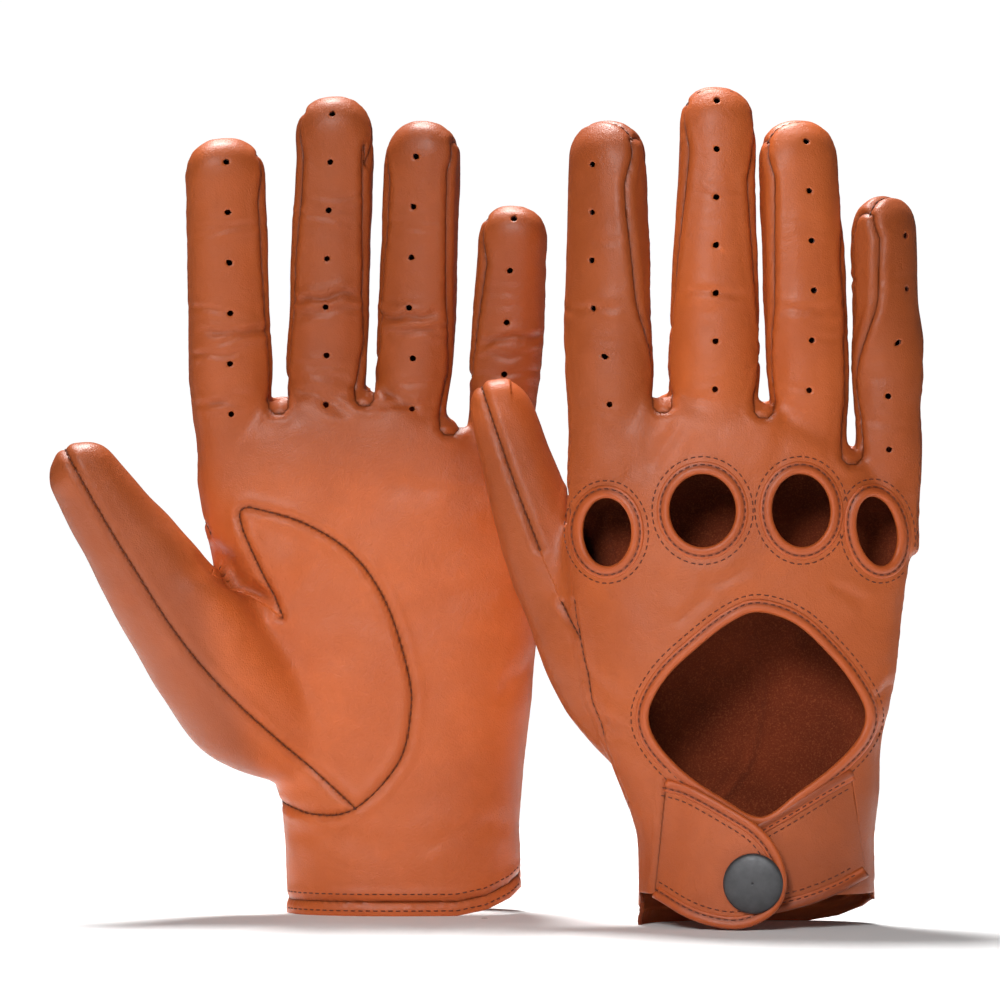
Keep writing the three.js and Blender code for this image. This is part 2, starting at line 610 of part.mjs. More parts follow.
// The stud, hollow for the post's shank.
function snapStud() {
  const { clearance, shankRadius, studRadius, studHeight, studBaseRadius, studBaseHeight } = SNAP;
  const [base, top] = [clearance + studBaseHeight, clearance + studHeight];
  const hollow = shankRadius + clearance;
  return lathe([
    [hollow, clearance], [studBaseRadius, clearance], [studBaseRadius, base], [studRadius, base],
    [studRadius * 0.85, base + 0.4], [studRadius, top - 0.3], [studRadius * 0.8, top], [0, top],
    [0, base + clearance], [hollow, base + clearance], [hollow, clearance],
  ]);
}

// The post, a flange under the underlap with a shank up into the stud.
function snapPost() {
  const { clearance, shankRadius, studBaseHeight, postRadius, postHeight } = SNAP;
  const [foot, tip] = [INNER_FACE - postHeight, studBaseHeight + clearance];
  return lathe([
    [0, foot], [postRadius * 0.9, foot], [postRadius, foot + 0.5 * postHeight], [postRadius, INNER_FACE],
    [shankRadius, INNER_FACE], [shankRadius, tip], [0, tip],
  ]);
}

// ---- The pair ----
const pair = new THREE.Group();
for (const hand of [LEFT, RIGHT]) {
  const glove = new THREE.Group();
  glove.add(...gloveParts(hand));
  if (hand === RIGHT) glove.scale.y = -1;
  else glove.position.set(PAIR_SPACING[0], PAIR_SPACING[1], 0);
  pair.add(glove);
}

// The origin is on the surface that the gloves stand on, under the middle of the pair's box.
pair.updateMatrixWorld(true);
const box = new THREE.Box3().setFromObject(pair, true);
const centre = box.getCenter(new THREE.Vector3());
pair.children.forEach((glove) => glove.position.add(new THREE.Vector3(-centre.x, -centre.y, -box.min.z)));

export default pair;
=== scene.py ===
"""A pair of unlined tan leather driving gloves, standing upright on their cuffs.

Each glove is made flat, in millimetres, in a frame of its own: x across with the thumb at -x, +y out of
the back of the hand, z from the cuff up. Lofts of the hand are joined into one skin, which is cut along the
seam lines into the pieces that a glove is sewn from. Each piece becomes a sheet of leather with a suede
inside, and only then are the fingers rolled and curled into their pose.
"""
import math

import bpy
import numpy as np
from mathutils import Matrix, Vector, noise
from mathutils.bvhtree import BVHTree
from mathutils.kdtree import KDTree


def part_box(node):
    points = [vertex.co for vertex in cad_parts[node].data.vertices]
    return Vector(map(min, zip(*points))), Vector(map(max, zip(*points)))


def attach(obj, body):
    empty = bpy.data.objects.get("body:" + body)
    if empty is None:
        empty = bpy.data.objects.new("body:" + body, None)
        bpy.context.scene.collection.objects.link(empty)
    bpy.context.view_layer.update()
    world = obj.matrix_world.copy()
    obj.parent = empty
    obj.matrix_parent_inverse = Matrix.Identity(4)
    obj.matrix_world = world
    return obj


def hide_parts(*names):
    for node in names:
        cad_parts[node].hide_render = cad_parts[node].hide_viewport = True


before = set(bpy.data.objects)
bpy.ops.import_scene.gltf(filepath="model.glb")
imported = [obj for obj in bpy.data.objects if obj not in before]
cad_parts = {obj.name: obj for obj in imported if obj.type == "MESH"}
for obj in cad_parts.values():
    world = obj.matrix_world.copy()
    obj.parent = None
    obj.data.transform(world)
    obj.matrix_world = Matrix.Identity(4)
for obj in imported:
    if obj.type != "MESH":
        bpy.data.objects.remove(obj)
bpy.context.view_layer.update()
MM = 0.001

# ---- Sizes in millimetres, the same as the CAD model's ----
LEATHER = 1.2
BINDING_PROUD = 0.35
HEM_HEIGHT = 4
VENT_HEIGHT = 9.5
CURL = 9
CURL_START = 96
ARCH = 3.2
ARCH_START, ARCH_FULL = 52, 108
CROTCH_FALL = 0.009
CUFF_HALF_DEPTH = 20
PALM_SQUARENESS = 2.5
FINGER_SQUARENESS = 2.25
THUMB_SQUARENESS = 2
FINGER_DEPTH_SHARE = 0.84
THUMB_DEPTH_SHARE = 0.8
SNAP_X, SNAP_Z = -1.3, 13.2
SNAP_GAP = 0.4
STUD_HEIGHT = 2.1
HINGE_STANDOFF = 0.3
FINGERS = ("index", "middle", "ring", "little")

# Palm: height, centre, half width, half depth. Fingers: foot, tip, half widths there, and roll in degrees.
# Thumb: x, y and z of a place on its middle line, and its half width there.
LEFT = dict(
    name="left",
    palm=[
        (0, 0, 33.5, 20), (22, -0.6, 32.9, 20), (35, -1.3, 34.5, 19.5), (49, -2.3, 37, 19.2),
        (63, -4, 40.3, 18.6), (80, -6, 43.6, 17.6), (97, -8, 45.8, 16.2),
    ],
    knuckles=dict(x=-10.3, half=48.4, depth=13, peak_x=-18, peak_z=149.5),
    fingers=dict(
        index=((-48, 112), (-50.8, 219.5), (12.2, 11), 4),
        middle=((-23, 114), (-19.2, 231.5), (11.9, 10.7), -6),
        ring=((1, 112), (6, 224.5), (11.3, 10.5), -14),
        little=((25.2, 106), (31.8, 200.5), (10.5, 9.6), -3),
    ),
    thumb=[
        (-24, -5, 47, 13), (-42, -8, 58, 18.5), (-54, -10, 72, 18), (-65, -12, 88, 16.2),
        (-76, -14, 104, 14.2), (-84.5, -15.5, 116, 12.2), (-89.5, -16.5, 124, 10.6),
    ],
)
RIGHT = dict(
    name="right",
    palm=[
        (0, 0, 33.2, 20), (22, 0, 32.8, 20), (35, -1.6, 35.4, 19.5), (49, -3.9, 38.4, 19.2),
        (63, -4.75, 42.2, 18.6), (80, -5.5, 45.2, 17.6), (97, -5.4, 47.4, 16.2),
    ],
    knuckles=dict(x=-3.9, half=49.3, depth=13, peak_x=-15, peak_z=150),
    fingers=dict(
        index=((-41, 112), (-42, 225), (13.6, 10.6), 28),
        middle=((-12.1, 114), (-11.2, 234.5), (14.3, 10), 0),
        ring=((16, 112), (11.5, 225), (12.2, 10.8), -15),
        little=((37.4, 104), (35.6, 204.3), (10.4, 9.4), -48),
    ),
    thumb=[
        (-24, -5, 47, 13), (-34, -7, 58, 14.6), (-44, -9, 72, 14.6), (-52, -11, 88, 13.2),
        (-59, -12.5, 104, 12.2), (-64, -14, 120, 11.2), (-68.5, -15, 134, 10), (-71.5, -15.5, 144, 9.4),
    ],
)

# Outlines on the hand, as (share of the palm's half width, height): the back opening, and the seam that sets
# the thumb into the palm.
OPENING = [
    (0.12, 89.3), (-0.05, 86.5), (-0.26, 79.3), (-0.48, 70.8), (-0.63, 61.5), (-0.645, 53.2),
    (-0.5, 44), (-0.247, 36.4), (0.058, 30.8), (0.384, 37.8), (0.68, 45.6), (0.85, 53.2),
    (0.86, 60.5), (0.74, 69), (0.56, 78), (0.35, 86),
]
THENAR = [
    (-1.03, 99), (-0.62, 84), (-0.72, 100), (-0.8, 113), (-0.74, 115.6), (-0.42, 111.2), (-0.13, 102.2),
    (0.05, 88.2), (0.146, 68.6), (0.137, 57.4), (0.014, 43.4), (-0.37, 30.5), (-0.75, 28.6), (-1.15, 33.6),
]
THENAR_NOTCH, THENAR_TIP, THENAR_FOOT = 1, 4, 11  # points of THENAR
# Knuckle holes: share, height, half width, half height, tilt in degrees.
KNUCKLES = dict(
    index=(-0.776, 110.6, 7.6, 10.2, 0),
    middle=(-0.222, 116.8, 10, 10.9, 0),
    ring=(0.348, 116.8, 8.9, 10.9, 4),
    little=(0.8, 110.8, 6.4, 10.6, 12),
)
CUFF_EDGE = [(-1.3, 0), (0.45, 0), (0.7, 1.6), (0.9, 4.6), (1.02, 8), (1.3, 8.4)]
# Strap and underlap, in mm, from the top of their seam round the free end to its foot.
STRAP = [
    (-25.5, 41.2), (-18, 39.2), (-8, 34.3), (1, 28.9), (6.6, 22),
    (8.8, 13.5), (5.6, 6), (-3.6, 1.6), (-16, 3.2), (-28.8, 9),
]
UNDERLAP = [
    (26, 44), (19, 40.2), (8, 33.6), (-3, 27), (-9.5, 20),
    (-9.5, 9.5), (-3, 4.6), (10, 6.4), (21, 10), (30.5, 14.6),
]

HEM_FOLD = 13  # the leather of the cuff edge is folded in, so that its good side shows inside up to here
FINE_VOXEL = 0.75
VOXEL = FINE_VOXEL  # of the mesh that each hand's skin is made from
FINGER_INSET = 0.8  # the flat fingers are slimmer by this on each side, so that they stay apart until posed
WALL = 1.05  # of the visible leather
REACH = 400  # farther out than any part of a glove


# ---- Small tools for arrays of points ----
def smoothstep(value, low, high):
    share = np.clip((value - low) / (high - low), 0, 1)
    return share * share * (3 - 2 * share)


def bell(value, width):
    return np.exp(-((value / width) ** 2))


def curve_through(points, steps, closed=False):
    """A Catmull-Rom curve through the points, with so many steps between each two."""
    p = np.array(points, float)
    n = len(p)
    spans = n if closed else n - 1
    share = np.linspace(0, 1, steps, endpoint=False)[:, None]
    out = []
    for i in range(spans):
        if closed:
            a, b, c, d = (p[(i + k) % n] for k in (-1, 0, 1, 2))
        else:
            a, b, c, d = (p[min(max(i + k, 0), n - 1)] for k in (-1, 0, 1, 2))
        out.append(
            0.5 * (2 * b + (c - a) * share + (2 * a - 5 * b + 4 * c - d) * share**2
                   + (3 * b - a - 3 * c + d) * share**3)
        )
    if not closed:
        out.append(p[-1:])
    return np.concatenate(out)


def resampled(points, pitch, closed):
    """Points at an even pitch along a polyline."""
    p = np.asarray(points, float)
    if closed:
        p = np.concatenate([p, p[:1]])
    along = np.concatenate([[0], np.cumsum(np.linalg.norm(np.diff(p, axis=0), axis=1))])
    count = max(2, round(along[-1] / pitch))
    at = np.linspace(0, along[-1], count + 1)
    if closed:
        at = at[:-1]
    return np.stack([np.interp(at, along, p[:, k]) for k in range(p.shape[1])], axis=1)


def outline_distance(x, z, outline):
    """Distance to a closed outline, negative inside it."""
    poly = np.asarray(outline, float)
    best = np.full(x.shape, 1e9)
    inside = np.zeros(x.shape, bool)
    for (ax, az), (bx, bz) in zip(poly, np.roll(poly, -1, axis=0)):
        dx, dz = bx - ax, bz - az
        t = np.clip(((x - ax) * dx + (z - az) * dz) / (dx * dx + dz * dz + 1e-12), 0, 1)
        best = np.minimum(best, (x - ax - t * dx) ** 2 + (z - az - t * dz) ** 2)
        if az != bz:
            crosses = (az > z) != (bz > z)
            inside ^= crosses & (x < (bx - ax) * (z - az) / (bz - az) + ax)
    return np.where(inside, -1, 1) * np.sqrt(best)


def area_sign(outline):
    """1 where an outline runs anticlockwise, and -1 where it runs clockwise."""
    x, z = outline.T
    return np.sign(np.sum(x * np.roll(z, -1) - np.roll(x, -1) * z))


def outward_of(outline, closed):
    """Unit vectors out of a dense outline, from each of its points."""
    if closed:
        tangent = np.roll(outline, -1, axis=0) - np.roll(outline, 1, axis=0)
    else:
        tangent = np.gradient(outline, axis=0)
    tangent /= np.linalg.norm(tangent, axis=1)[:, None]
    return np.stack([tangent[:, 1], -tangent[:, 0]], axis=1) * area_sign(outline)


def offset_outline(outline, distance, closed):
    """A dense outline moved outwards, or inwards where the distance is negative."""
    return outline + outward_of(outline, closed) * distance


def ellipse(x, z, rx, rz, tilt, count=72):
    angle = np.linspace(0, 2 * math.pi, count, endpoint=False)
    a, b, t = rx * np.cos(angle), rz * np.sin(angle), math.radians(tilt)
    return np.stack([x + a * math.cos(t) - b * math.sin(t), z + a * math.sin(t) + b * math.cos(t)], axis=1)


# ---- The flat hand ----
def crotch_height(hand, x):
    k = hand["knuckles"]
    return k["peak_z"] - CROTCH_FALL * (x - k["peak_x"]) ** 2


def palm_at(hand, z):
    """The palm's centre and half width at some heights."""
    k = hand["knuckles"]
    rows = [*hand["palm"], (k["peak_z"] - 14, k["x"], k["half"], k["depth"])]
    heights = [r[0] for r in rows]
    return np.interp(z, heights, [r[1] for r in rows]), np.interp(z, heights, [r[2] for r in rows])


def on_palm(hand, outline):
    p = np.asarray(outline, float)
    centre, half = palm_at(hand, p[:, 1])
    return np.stack([centre + p[:, 0] * half, p[:, 1]], axis=1)


def section(half_width, half_depth, squareness, sides):
    angle = np.linspace(0, 2 * math.pi, sides, endpoint=False)
    c, s = np.cos(angle), np.sin(angle)
    a = half_width * np.sign(c) * np.abs(c) ** (2 / squareness)
    b = half_depth * np.sign(s) * np.abs(s) ** (2 / squareness)
    return a, b


def tube(rings):
    """Points and triangles of a closed tube through rings of points."""
    count, sides = len(rings), len(rings[0])
    points = np.concatenate([*rings, [rings[0].mean(0)], [rings[-1].mean(0)]])
    faces = []
    side = np.arange(sides)
    turn = (side + 1) % sides
    for r in range(count - 1):
        a, b = r * sides + side, r * sides + turn
        faces.append(np.stack([a, b, b + sides], axis=1))
        faces.append(np.stack([a, b + sides, a + sides], axis=1))
    foot, head = count * sides, count * sides + 1
    last = (count - 1) * sides
    faces.append(np.stack([turn, side, np.full(sides, foot)], axis=1))
    faces.append(np.stack([last + side, last + turn, np.full(sides, head)], axis=1))
    return points, np.concatenate(faces)


CUFF_DROP = 8  # the palm's loft runs on below the cuff edge, where it is cut
PALM_SIDES, FINGER_SIDES = 72, 40  # points round a loft's sections


def palm_loft(hand):
    k = hand["knuckles"]
    knuckle_row = (k["peak_z"] - 26, k["x"], k["half"], k["depth"] * 1.08)
    rows = [(-CUFF_DROP, *hand["palm"][0][1:]), *hand["palm"], knuckle_row]
    rings = []
    for z, x, half, depth in curve_through(rows, 6):
        a, b = section(half, depth, PALM_SQUARENESS, PALM_SIDES)
        rings.append(np.stack([x + a, b, np.full(PALM_SIDES, z)], axis=1))
    for drop, share in ((14, 1), (10, 0.97), (6, 0.88), (3, 0.74), (1, 0.55), (0, 0.38)):
        a, b = section(k["half"], k["depth"] * share, PALM_SQUARENESS, PALM_SIDES)
        x = k["x"] + a
        rings.append(np.stack([x, b, crotch_height(hand, x) - drop], axis=1))
    return tube(rings)


def finger_axis(hand, name):
    (fx, fz), (tx, tz), halves, roll = hand["fingers"][name]
    length = math.hypot(tx - fx, tz - fz)
    along = np.array([tx - fx, tz - fz]) / length
    return np.array([fx, fz], float), along, length, halves, math.radians(roll)


def finger_local(hand, name, p):
    """How far points are along a finger's axis and across it."""
    foot, along, _, _, _ = finger_axis(hand, name)
    dx, dz = p[:, 0] - foot[0], p[:, 2] - foot[1]
    return dx * along[0] + dz * along[1], dx * along[1] - dz * along[0]


def finger_loft(hand, name):
    foot, along, length, (foot_half, tip_half), _ = finger_axis(hand, name)
    straight = [(s * length, 1) for s in (0.3, 0.42, 0.55, 0.68, 0.8)]
    stations = [(0, 0.72), (0.16 * length, 0.9), *straight]
    for angle in np.radians(np.linspace(0, 84, 10)):
        stations.append((length - tip_half * (1 - math.sin(angle)), math.cos(angle) ** 0.8))
    rings = []
    for t, share in stations:
        half = (foot_half + (tip_half - foot_half) * t / length) * share
        slim_half = half * (1 - FINGER_INSET / foot_half)
        a, b = section(slim_half, half * FINGER_DEPTH_SHARE, FINGER_SQUARENESS, FINGER_SIDES)
        x = foot[0] + t * along[0] + a * along[1]
        z = foot[1] + t * along[1] - a * along[0]
        rings.append(np.stack([x, b, z], axis=1))
    return tube(rings)


def thumb_loft(hand):
    rows = curve_through(hand["thumb"], 5)
    along = np.gradient(rows[:, :3], axis=0)
    along /= np.linalg.norm(along, axis=1)[:, None]
    tip_half = rows[-1, 3]
    rings = []

    def ring(centre, direction, half):
        across = np.cross([0, 1, 0], direction)
        across /= np.linalg.norm(across)
        deep = np.cross(direction, across)
        a, b = section(half, half * THUMB_DEPTH_SHARE, THUMB_SQUARENESS, FINGER_SIDES)
        rings.append(centre + a[:, None] * across + b[:, None] * deep)

    for row, direction in zip(rows, along):
        ring(row[:3], direction, row[3])
    end = rows[-1, :3]
    for angle in np.radians(np.linspace(10, 84, 9)):
        ring(end + along[-1] * tip_half * math.sin(angle), along[-1], tip_half * math.cos(angle) ** 0.9)
    return tube(rings)


def from_blender(mesh):
    points = np.empty(len(mesh.vertices) * 3)
    mesh.vertices.foreach_get("co", points)
    mesh.calc_loop_triangles()
    faces = np.empty(len(mesh.loop_triangles) * 3, int)
    mesh.loop_triangles.foreach_get("vertices", faces)
    return points.reshape(-1, 3), faces.reshape(-1, 3)


def edges_of(faces):
    pairs = np.concatenate([faces[:, [0, 1]], faces[:, [1, 2]], faces[:, [2, 0]]])
    return np.unique(np.sort(pairs, axis=1), axis=0)


def relaxed(points, faces, steps, weight):
    """Points evened out over their neighbours, by a weight from 0 to 1 for each."""
    edges = edges_of(faces)
    degree = np.bincount(edges.ravel(), minlength=len(points))[:, None]
    for _ in range(steps):
        total = np.zeros_like(points)
        for k in range(3):
            total[:, k] += np.bincount(edges[:, 0], points[edges[:, 1], k], len(points))
            total[:, k] += np.bincount(edges[:, 1], points[edges[:, 0], k], len(points))
        points = points + (total / degree - points) * weight[:, None] * 0.6
    return points


def normals_of(points, faces):
    a, b, c = (points[faces[:, k]] for k in range(3))
    face_normal = np.cross(b - a, c - a)
    out = np.zeros_like(points)
    for k in range(3):
        for j in range(3):
            out[:, j] += np.bincount(faces[:, k], face_normal[:, j], len(points))
    return out / (np.linalg.norm(out, axis=1)[:, None] + 1e-12)


EVENING_STEPS = 10  # of smoothing that a fine skin gets all over
THUMB_ROOT_SOFTNESS = 26  # the hollow between thumb and hand is smoothed out to this distance
WEB_SOFTNESS = 9  # and the hollows between the fingers to this one


def hand_skin(hand):
    """The outside of the whole hand as one even mesh: its lofts joined, with the hollows filled out."""
    parts = [palm_loft(hand), thumb_loft(hand), *(finger_loft(hand, name) for name in FINGERS)]
    mesh = bpy.data.meshes.new("skin")
    start, all_points, all_faces = 0, [], []
    for points, faces in parts:
        all_points.append(points)
        all_faces.append(faces + start)
        start += len(points)
    mesh.from_pydata(np.concatenate(all_points).tolist(), [], np.concatenate(all_faces).tolist())
    skin = bpy.data.objects.new("skin", mesh)
    bpy.context.scene.collection.objects.link(skin)
    remesh = skin.modifiers.new("join", "REMESH")
    remesh.mode = "VOXEL"
    remesh.voxel_size = VOXEL
    evaluated = skin.evaluated_get(bpy.context.evaluated_depsgraph_get())
    points, faces = from_blender(evaluated.to_mesh())
    bpy.data.objects.remove(skin)
    bpy.data.meshes.remove(mesh)
    steps = round(EVENING_STEPS * (FINE_VOXEL / VOXEL) ** 2)
    points = relaxed(points, faces, steps, np.ones(len(points)))
    x, _, z = points.T
    thumb = np.array([row[:3] for row in curve_through(hand["thumb"], 2)])
    near_thumb = np.min([np.linalg.norm(points - t, axis=1) for t in thumb], axis=0)
    edge = np.abs((x - palm_at(hand, z)[0]) / palm_at(hand, z)[1] + 1)
    root = bell(edge, 0.5) * bell(near_thumb, THUMB_ROOT_SOFTNESS)
    points = relaxed(points, faces, 5 * steps, root)
    crotch = bell(z - crotch_height(hand, x) + 3, WEB_SOFTNESS)
    return relaxed(points, faces, 2 * steps, np.clip(crotch, 0, 1) * 0.7), faces


# ---- Cutting a skin along lines ----
CLOSE_SHARE = 0.2  # a point nearer to the line than this share of its edge is moved onto it


def crossing_points(p, q, at_p, at_q, field):
    """Where a field that has unlike signs at p and q is zero between them, by false position."""
    p, q, at_p, at_q = p.copy(), q.copy(), at_p.copy(), at_q.copy()
    for _ in range(3):
        middle = p + (at_p / (at_p - at_q))[:, None] * (q - p)
        at_middle = field(middle)
        low = at_middle * at_p > 0
        p[low], at_p[low] = middle[low], at_middle[low]
        q[~low], at_q[~low] = middle[~low], at_middle[~low]
        at_q[at_q == at_p] += 1e-9
    return middle


def cut(points, faces, field):
    """Splits triangles along the line where a field of the points is zero."""
    value = field(points)
    value[np.abs(value) < 1e-9] = 0
    edges = edges_of(faces)
    a, b = edges.T
    crossing = value[a] * value[b] < 0
    if not crossing.any():
        return points, faces
    a, b = a[crossing], b[crossing]
    share = value[a] / (value[a] - value[b])
    moved = points.copy()
    for near, far, t in ((a, b, share), (b, a, 1 - share)):
        close = t < CLOSE_SHARE
        moved[near[close]] = points[near[close]] + t[close, None] * (points[far[close]] - points[near[close]])
        value[near[close]] = 0
    still = value[a] * value[b] < 0
    a, b = a[still], b[still]
    count = len(moved)
    keys = a * count + b
    order = np.argsort(keys)
    keys, a, b = keys[order], a[order], b[order]
    added = crossing_points(moved[a], moved[b], value[a], value[b], field)

    def middle(u, v):
        key = np.minimum(u, v) * count + np.maximum(u, v)
        at = np.minimum(np.searchsorted(keys, key), len(keys) - 1)
        return np.where(keys[at] == key, count + at, -1)

    whole = np.ones(len(faces), bool)
    out = []
    for turn in range(3):
        i, j, k = (faces[:, (turn + n) % 3] for n in range(3))
        ij, ik, jk = middle(i, j), middle(i, k), middle(j, k)
        lone = (ij >= 0) & (ik >= 0)
        out.append(np.stack([i, ij, ik], axis=1)[lone])
        out.append(np.stack([ij, j, k], axis=1)[lone])
        out.append(np.stack([ij, k, ik], axis=1)[lone])
        through = (jk >= 0) & (ij < 0) & (ik < 0)
        out.append(np.stack([i, j, jk], axis=1)[through])
        out.append(np.stack([i, jk, k], axis=1)[through])
        whole &= ~(lone | through)
    return np.concatenate([moved, added]), np.concatenate([faces[whole], *out])


def without_slivers(points, faces):
    a, b, c = (points[faces[:, k]] for k in range(3))
    area = np.linalg.norm(np.cross(b - a, c - a), axis=1)
    return faces[area > 1e-7]


# ---- Where the seams run, as fields over the flat hand ----
STRIP_HALF = 6.0  # of a fourchette along the fingers, in depth
STRIP_WEB_HALF = 11  # and at the web between them
STRIP_U_HALF = 2.7  # half width of its small U below the web
STRIP_U_DROP = 4.6


def strip_field(hand, a, b):
    """The strip between two fingers: a small U below their web, then the walls they turn to each other."""
    middle = (hand["fingers"][a][0][0] + hand["fingers"][b][0][0]) / 2
    web = crotch_height(hand, middle)

    def wall(name, toward, z, share):
        foot, along, _, (foot_half, _), _ = finger_axis(hand, name)
        return foot[0] + (z - foot[1]) * along[0] / along[1] + toward * share * foot_half, z

    def tip_end(name, toward):
        foot, along, length, (_, half), _ = finger_axis(hand, name)
        x, z = foot + along * length
        return [(x + toward * out * half, z - down * half) for out, down in ((0.74, 1.2), (0.8, 0.3))]

    top_a, top_b = tip_end(a, 1), tip_end(b, -1)
    outline = [
        (middle - STRIP_U_HALF, web), (middle - STRIP_U_HALF, web - STRIP_U_DROP + 1.5),
        (middle - 0.5 * STRIP_U_HALF, web - STRIP_U_DROP), (middle + 0.5 * STRIP_U_HALF, web - STRIP_U_DROP),
        (middle + STRIP_U_HALF, web - STRIP_U_DROP + 1.5), (middle + STRIP_U_HALF, web),
        wall(b, -1, web + 13, 0.84), *top_b, (middle, REACH), *reversed(top_a), wall(a, 1, web + 13, 0.84),
    ]

    def field(p):
        half = STRIP_WEB_HALF + (STRIP_HALF - STRIP_WEB_HALF) * smoothstep(p[:, 2], web + 1, web + 18)
        for corner in (top_a[0], top_b[0]):
            near_tip = smoothstep(p[:, 2], corner[1] - 6, corner[1] + 8) * (np.abs(p[:, 0] - corner[0]) < 9)
            half = half - 3.4 * near_tip
        return np.maximum(outline_distance(p[:, 0], p[:, 2], outline), np.abs(p[:, 1]) - half)

    return field


SEAM_DEPTH = 1.5  # the side seams lie this far behind the middle


def thumb_fields(hand):
    """The thumb with the ball of the thumb, and the line that parts its inner and outer panels."""
    corners = on_palm(hand, THENAR)
    notch, round_ball = corners[THENAR_NOTCH:THENAR_TIP + 1], corners[THENAR_TIP:]
    patch = np.concatenate([corners[:1], curve_through(notch, 5)[:-1], curve_through(round_ball, 6)])
    edge = on_palm(hand, [(-0.985, z) for z in (99, 88, 76, 64, 52, 42, 34)])
    tip = np.array(hand["thumb"][-1])[[0, 2]]
    side = [
        (edge[0, 0] + 0.5, 103), *edge, (-REACH, 26), (-REACH, REACH),
        (tip[0] + 26, REACH), (tip[0] + 17, 150),
    ]
    line_end = corners[THENAR_FOOT]
    tip_end = tip + np.array([-7, 10])
    bulge = np.array([-7.5, -4])
    line = curve_through([tip_end, tip_end + (line_end - tip_end) * 0.3 + bulge * 0.7,
                          tip_end + (line_end - tip_end) * 0.6 + bulge, line_end], 8)
    outer = [*line, (line_end[0] + 40, -REACH), (-REACH, -REACH), (-REACH, REACH), (tip_end[0] - 3, REACH)]

    def whole(p):
        on_patch = np.maximum(outline_distance(p[:, 0], p[:, 2], patch), p[:, 1] - SEAM_DEPTH)
        return np.minimum(on_patch, outline_distance(p[:, 0], p[:, 2], side))

    def parting(p):
        return np.maximum(outline_distance(p[:, 0], p[:, 2], outer), whole(p))

    return whole, parting


def cuff_field(hand):
    centre, half = palm_at(hand, 0)

    def field(p):
        u = (p[:, 0] - centre) / half
        edge = np.interp(u, [c[0] for c in CUFF_EDGE], [c[1] for c in CUFF_EDGE])
        back = smoothstep(p[:, 1], 0, 2)
        return p[:, 2] - (edge * (1 - back) + VENT_HEIGHT * back)

    return field


HOLE_RADIUS = 0.85
# Punched holes along a finger: how far below the tip, pitch and how many, on the palm's side and on the back.
PALM_HOLES = dict(index=(6.2, 14.3, 6), middle=(4.6, 13.7, 7), ring=(9.8, 14.3, 6), little=(3.4, 14.7, 4))
BACK_HOLES = dict(index=(11.8, 13.4, 6), middle=(3.6, 13.4, 7), ring=(5.4, 13.9, 6), little=(11.2, 14.9, 5))
HOLE_STAGGER = 6.8  # the rows on the hidden side are shifted by this, so that no hole is in line with another


def hole_field(hand):
    shown, shown_side = (PALM_HOLES, -1) if hand is LEFT else (BACK_HOLES, 1)

    def field(p):
        best = np.full(len(p), 1e3)
        for name in FINGERS:
            t, across = finger_local(hand, name, p)
            length = finger_axis(hand, name)[2]
            first, pitch, count = shown[name]
            for shift, sign in ((0, shown_side), (HOLE_STAGGER, -shown_side)):
                for k in range(count if sign == shown_side else count - 1):
                    away = np.hypot(t - (length - first - shift - k * pitch), across)
                    best = np.minimum(best, np.where(p[:, 1] * sign > 0, away, 1e3))
        return best - HOLE_RADIUS

    return field


def on_back(outline):
    """A field that is inside an outline on the back of the hand only."""
    return lambda p: np.maximum(outline_distance(p[:, 0], p[:, 2], outline), 1 - p[:, 1])


# ---- Folds, and the pose ----
def rough(points, size, seed):
    shift = Vector((seed * 13.7, seed * 5.1, seed * 9.3))
    return np.array([noise.noise(Vector(p) + shift) for p in (points / size)])


# Creases: two ends in the plane of the hand, how deep and how wide, and the side, -1 for the palm's.
LEFT_CREASES = [
    ((-57.5, 165.2), (-38, 165.6), 0.75, 1.0, -1), ((-60, 158.8), (-46, 159.2), 0.4, 0.9, -1),
    ((-56, 146), (-41, 148), 0.3, 1.2, -1), ((-30, 173.6), (-12.2, 176), 0.95, 1.1, -1),
    ((-30, 170.5), (-18, 171), 0.35, 0.9, -1), ((-30.5, 149.5), (-15.5, 142), 0.5, 1.3, -1),
    ((-27, 154), (-12, 149), 0.3, 1.2, -1), ((-7.8, 168), (11, 170.6), 0.85, 1.0, -1),
    ((-1, 164), (11.5, 165.2), 0.5, 1.0, -1), ((-6.5, 150), (4.5, 142), 0.5, 1.2, -1),
    ((22, 162), (40, 164.5), 0.7, 1.0, -1), ((22, 157.5), (34, 158.5), 0.35, 0.9, -1),
    ((21, 148), (33, 144.5), 0.4, 1.2, -1), ((-56, 103), (-37, 87.5), 2.6, 4.2, -1),
    ((-50, 97), (-38, 88.5), 1.1, 1.5, -1), ((-46, 33), (-14, 27.5), 0.5, 1.6, -1),
    ((-35, 24), (-5, 20.5), 0.35, 2.6, -1), ((4, 19), (30, 27), 0.4, 2.4, -1),
    ((12, 90), (38, 96), 0.35, 3.0, -1), ((-5, 122), (24, 118), 0.35, 2.8, -1),
    ((26, 60), (38, 74), 0.5, 2.6, -1),
]
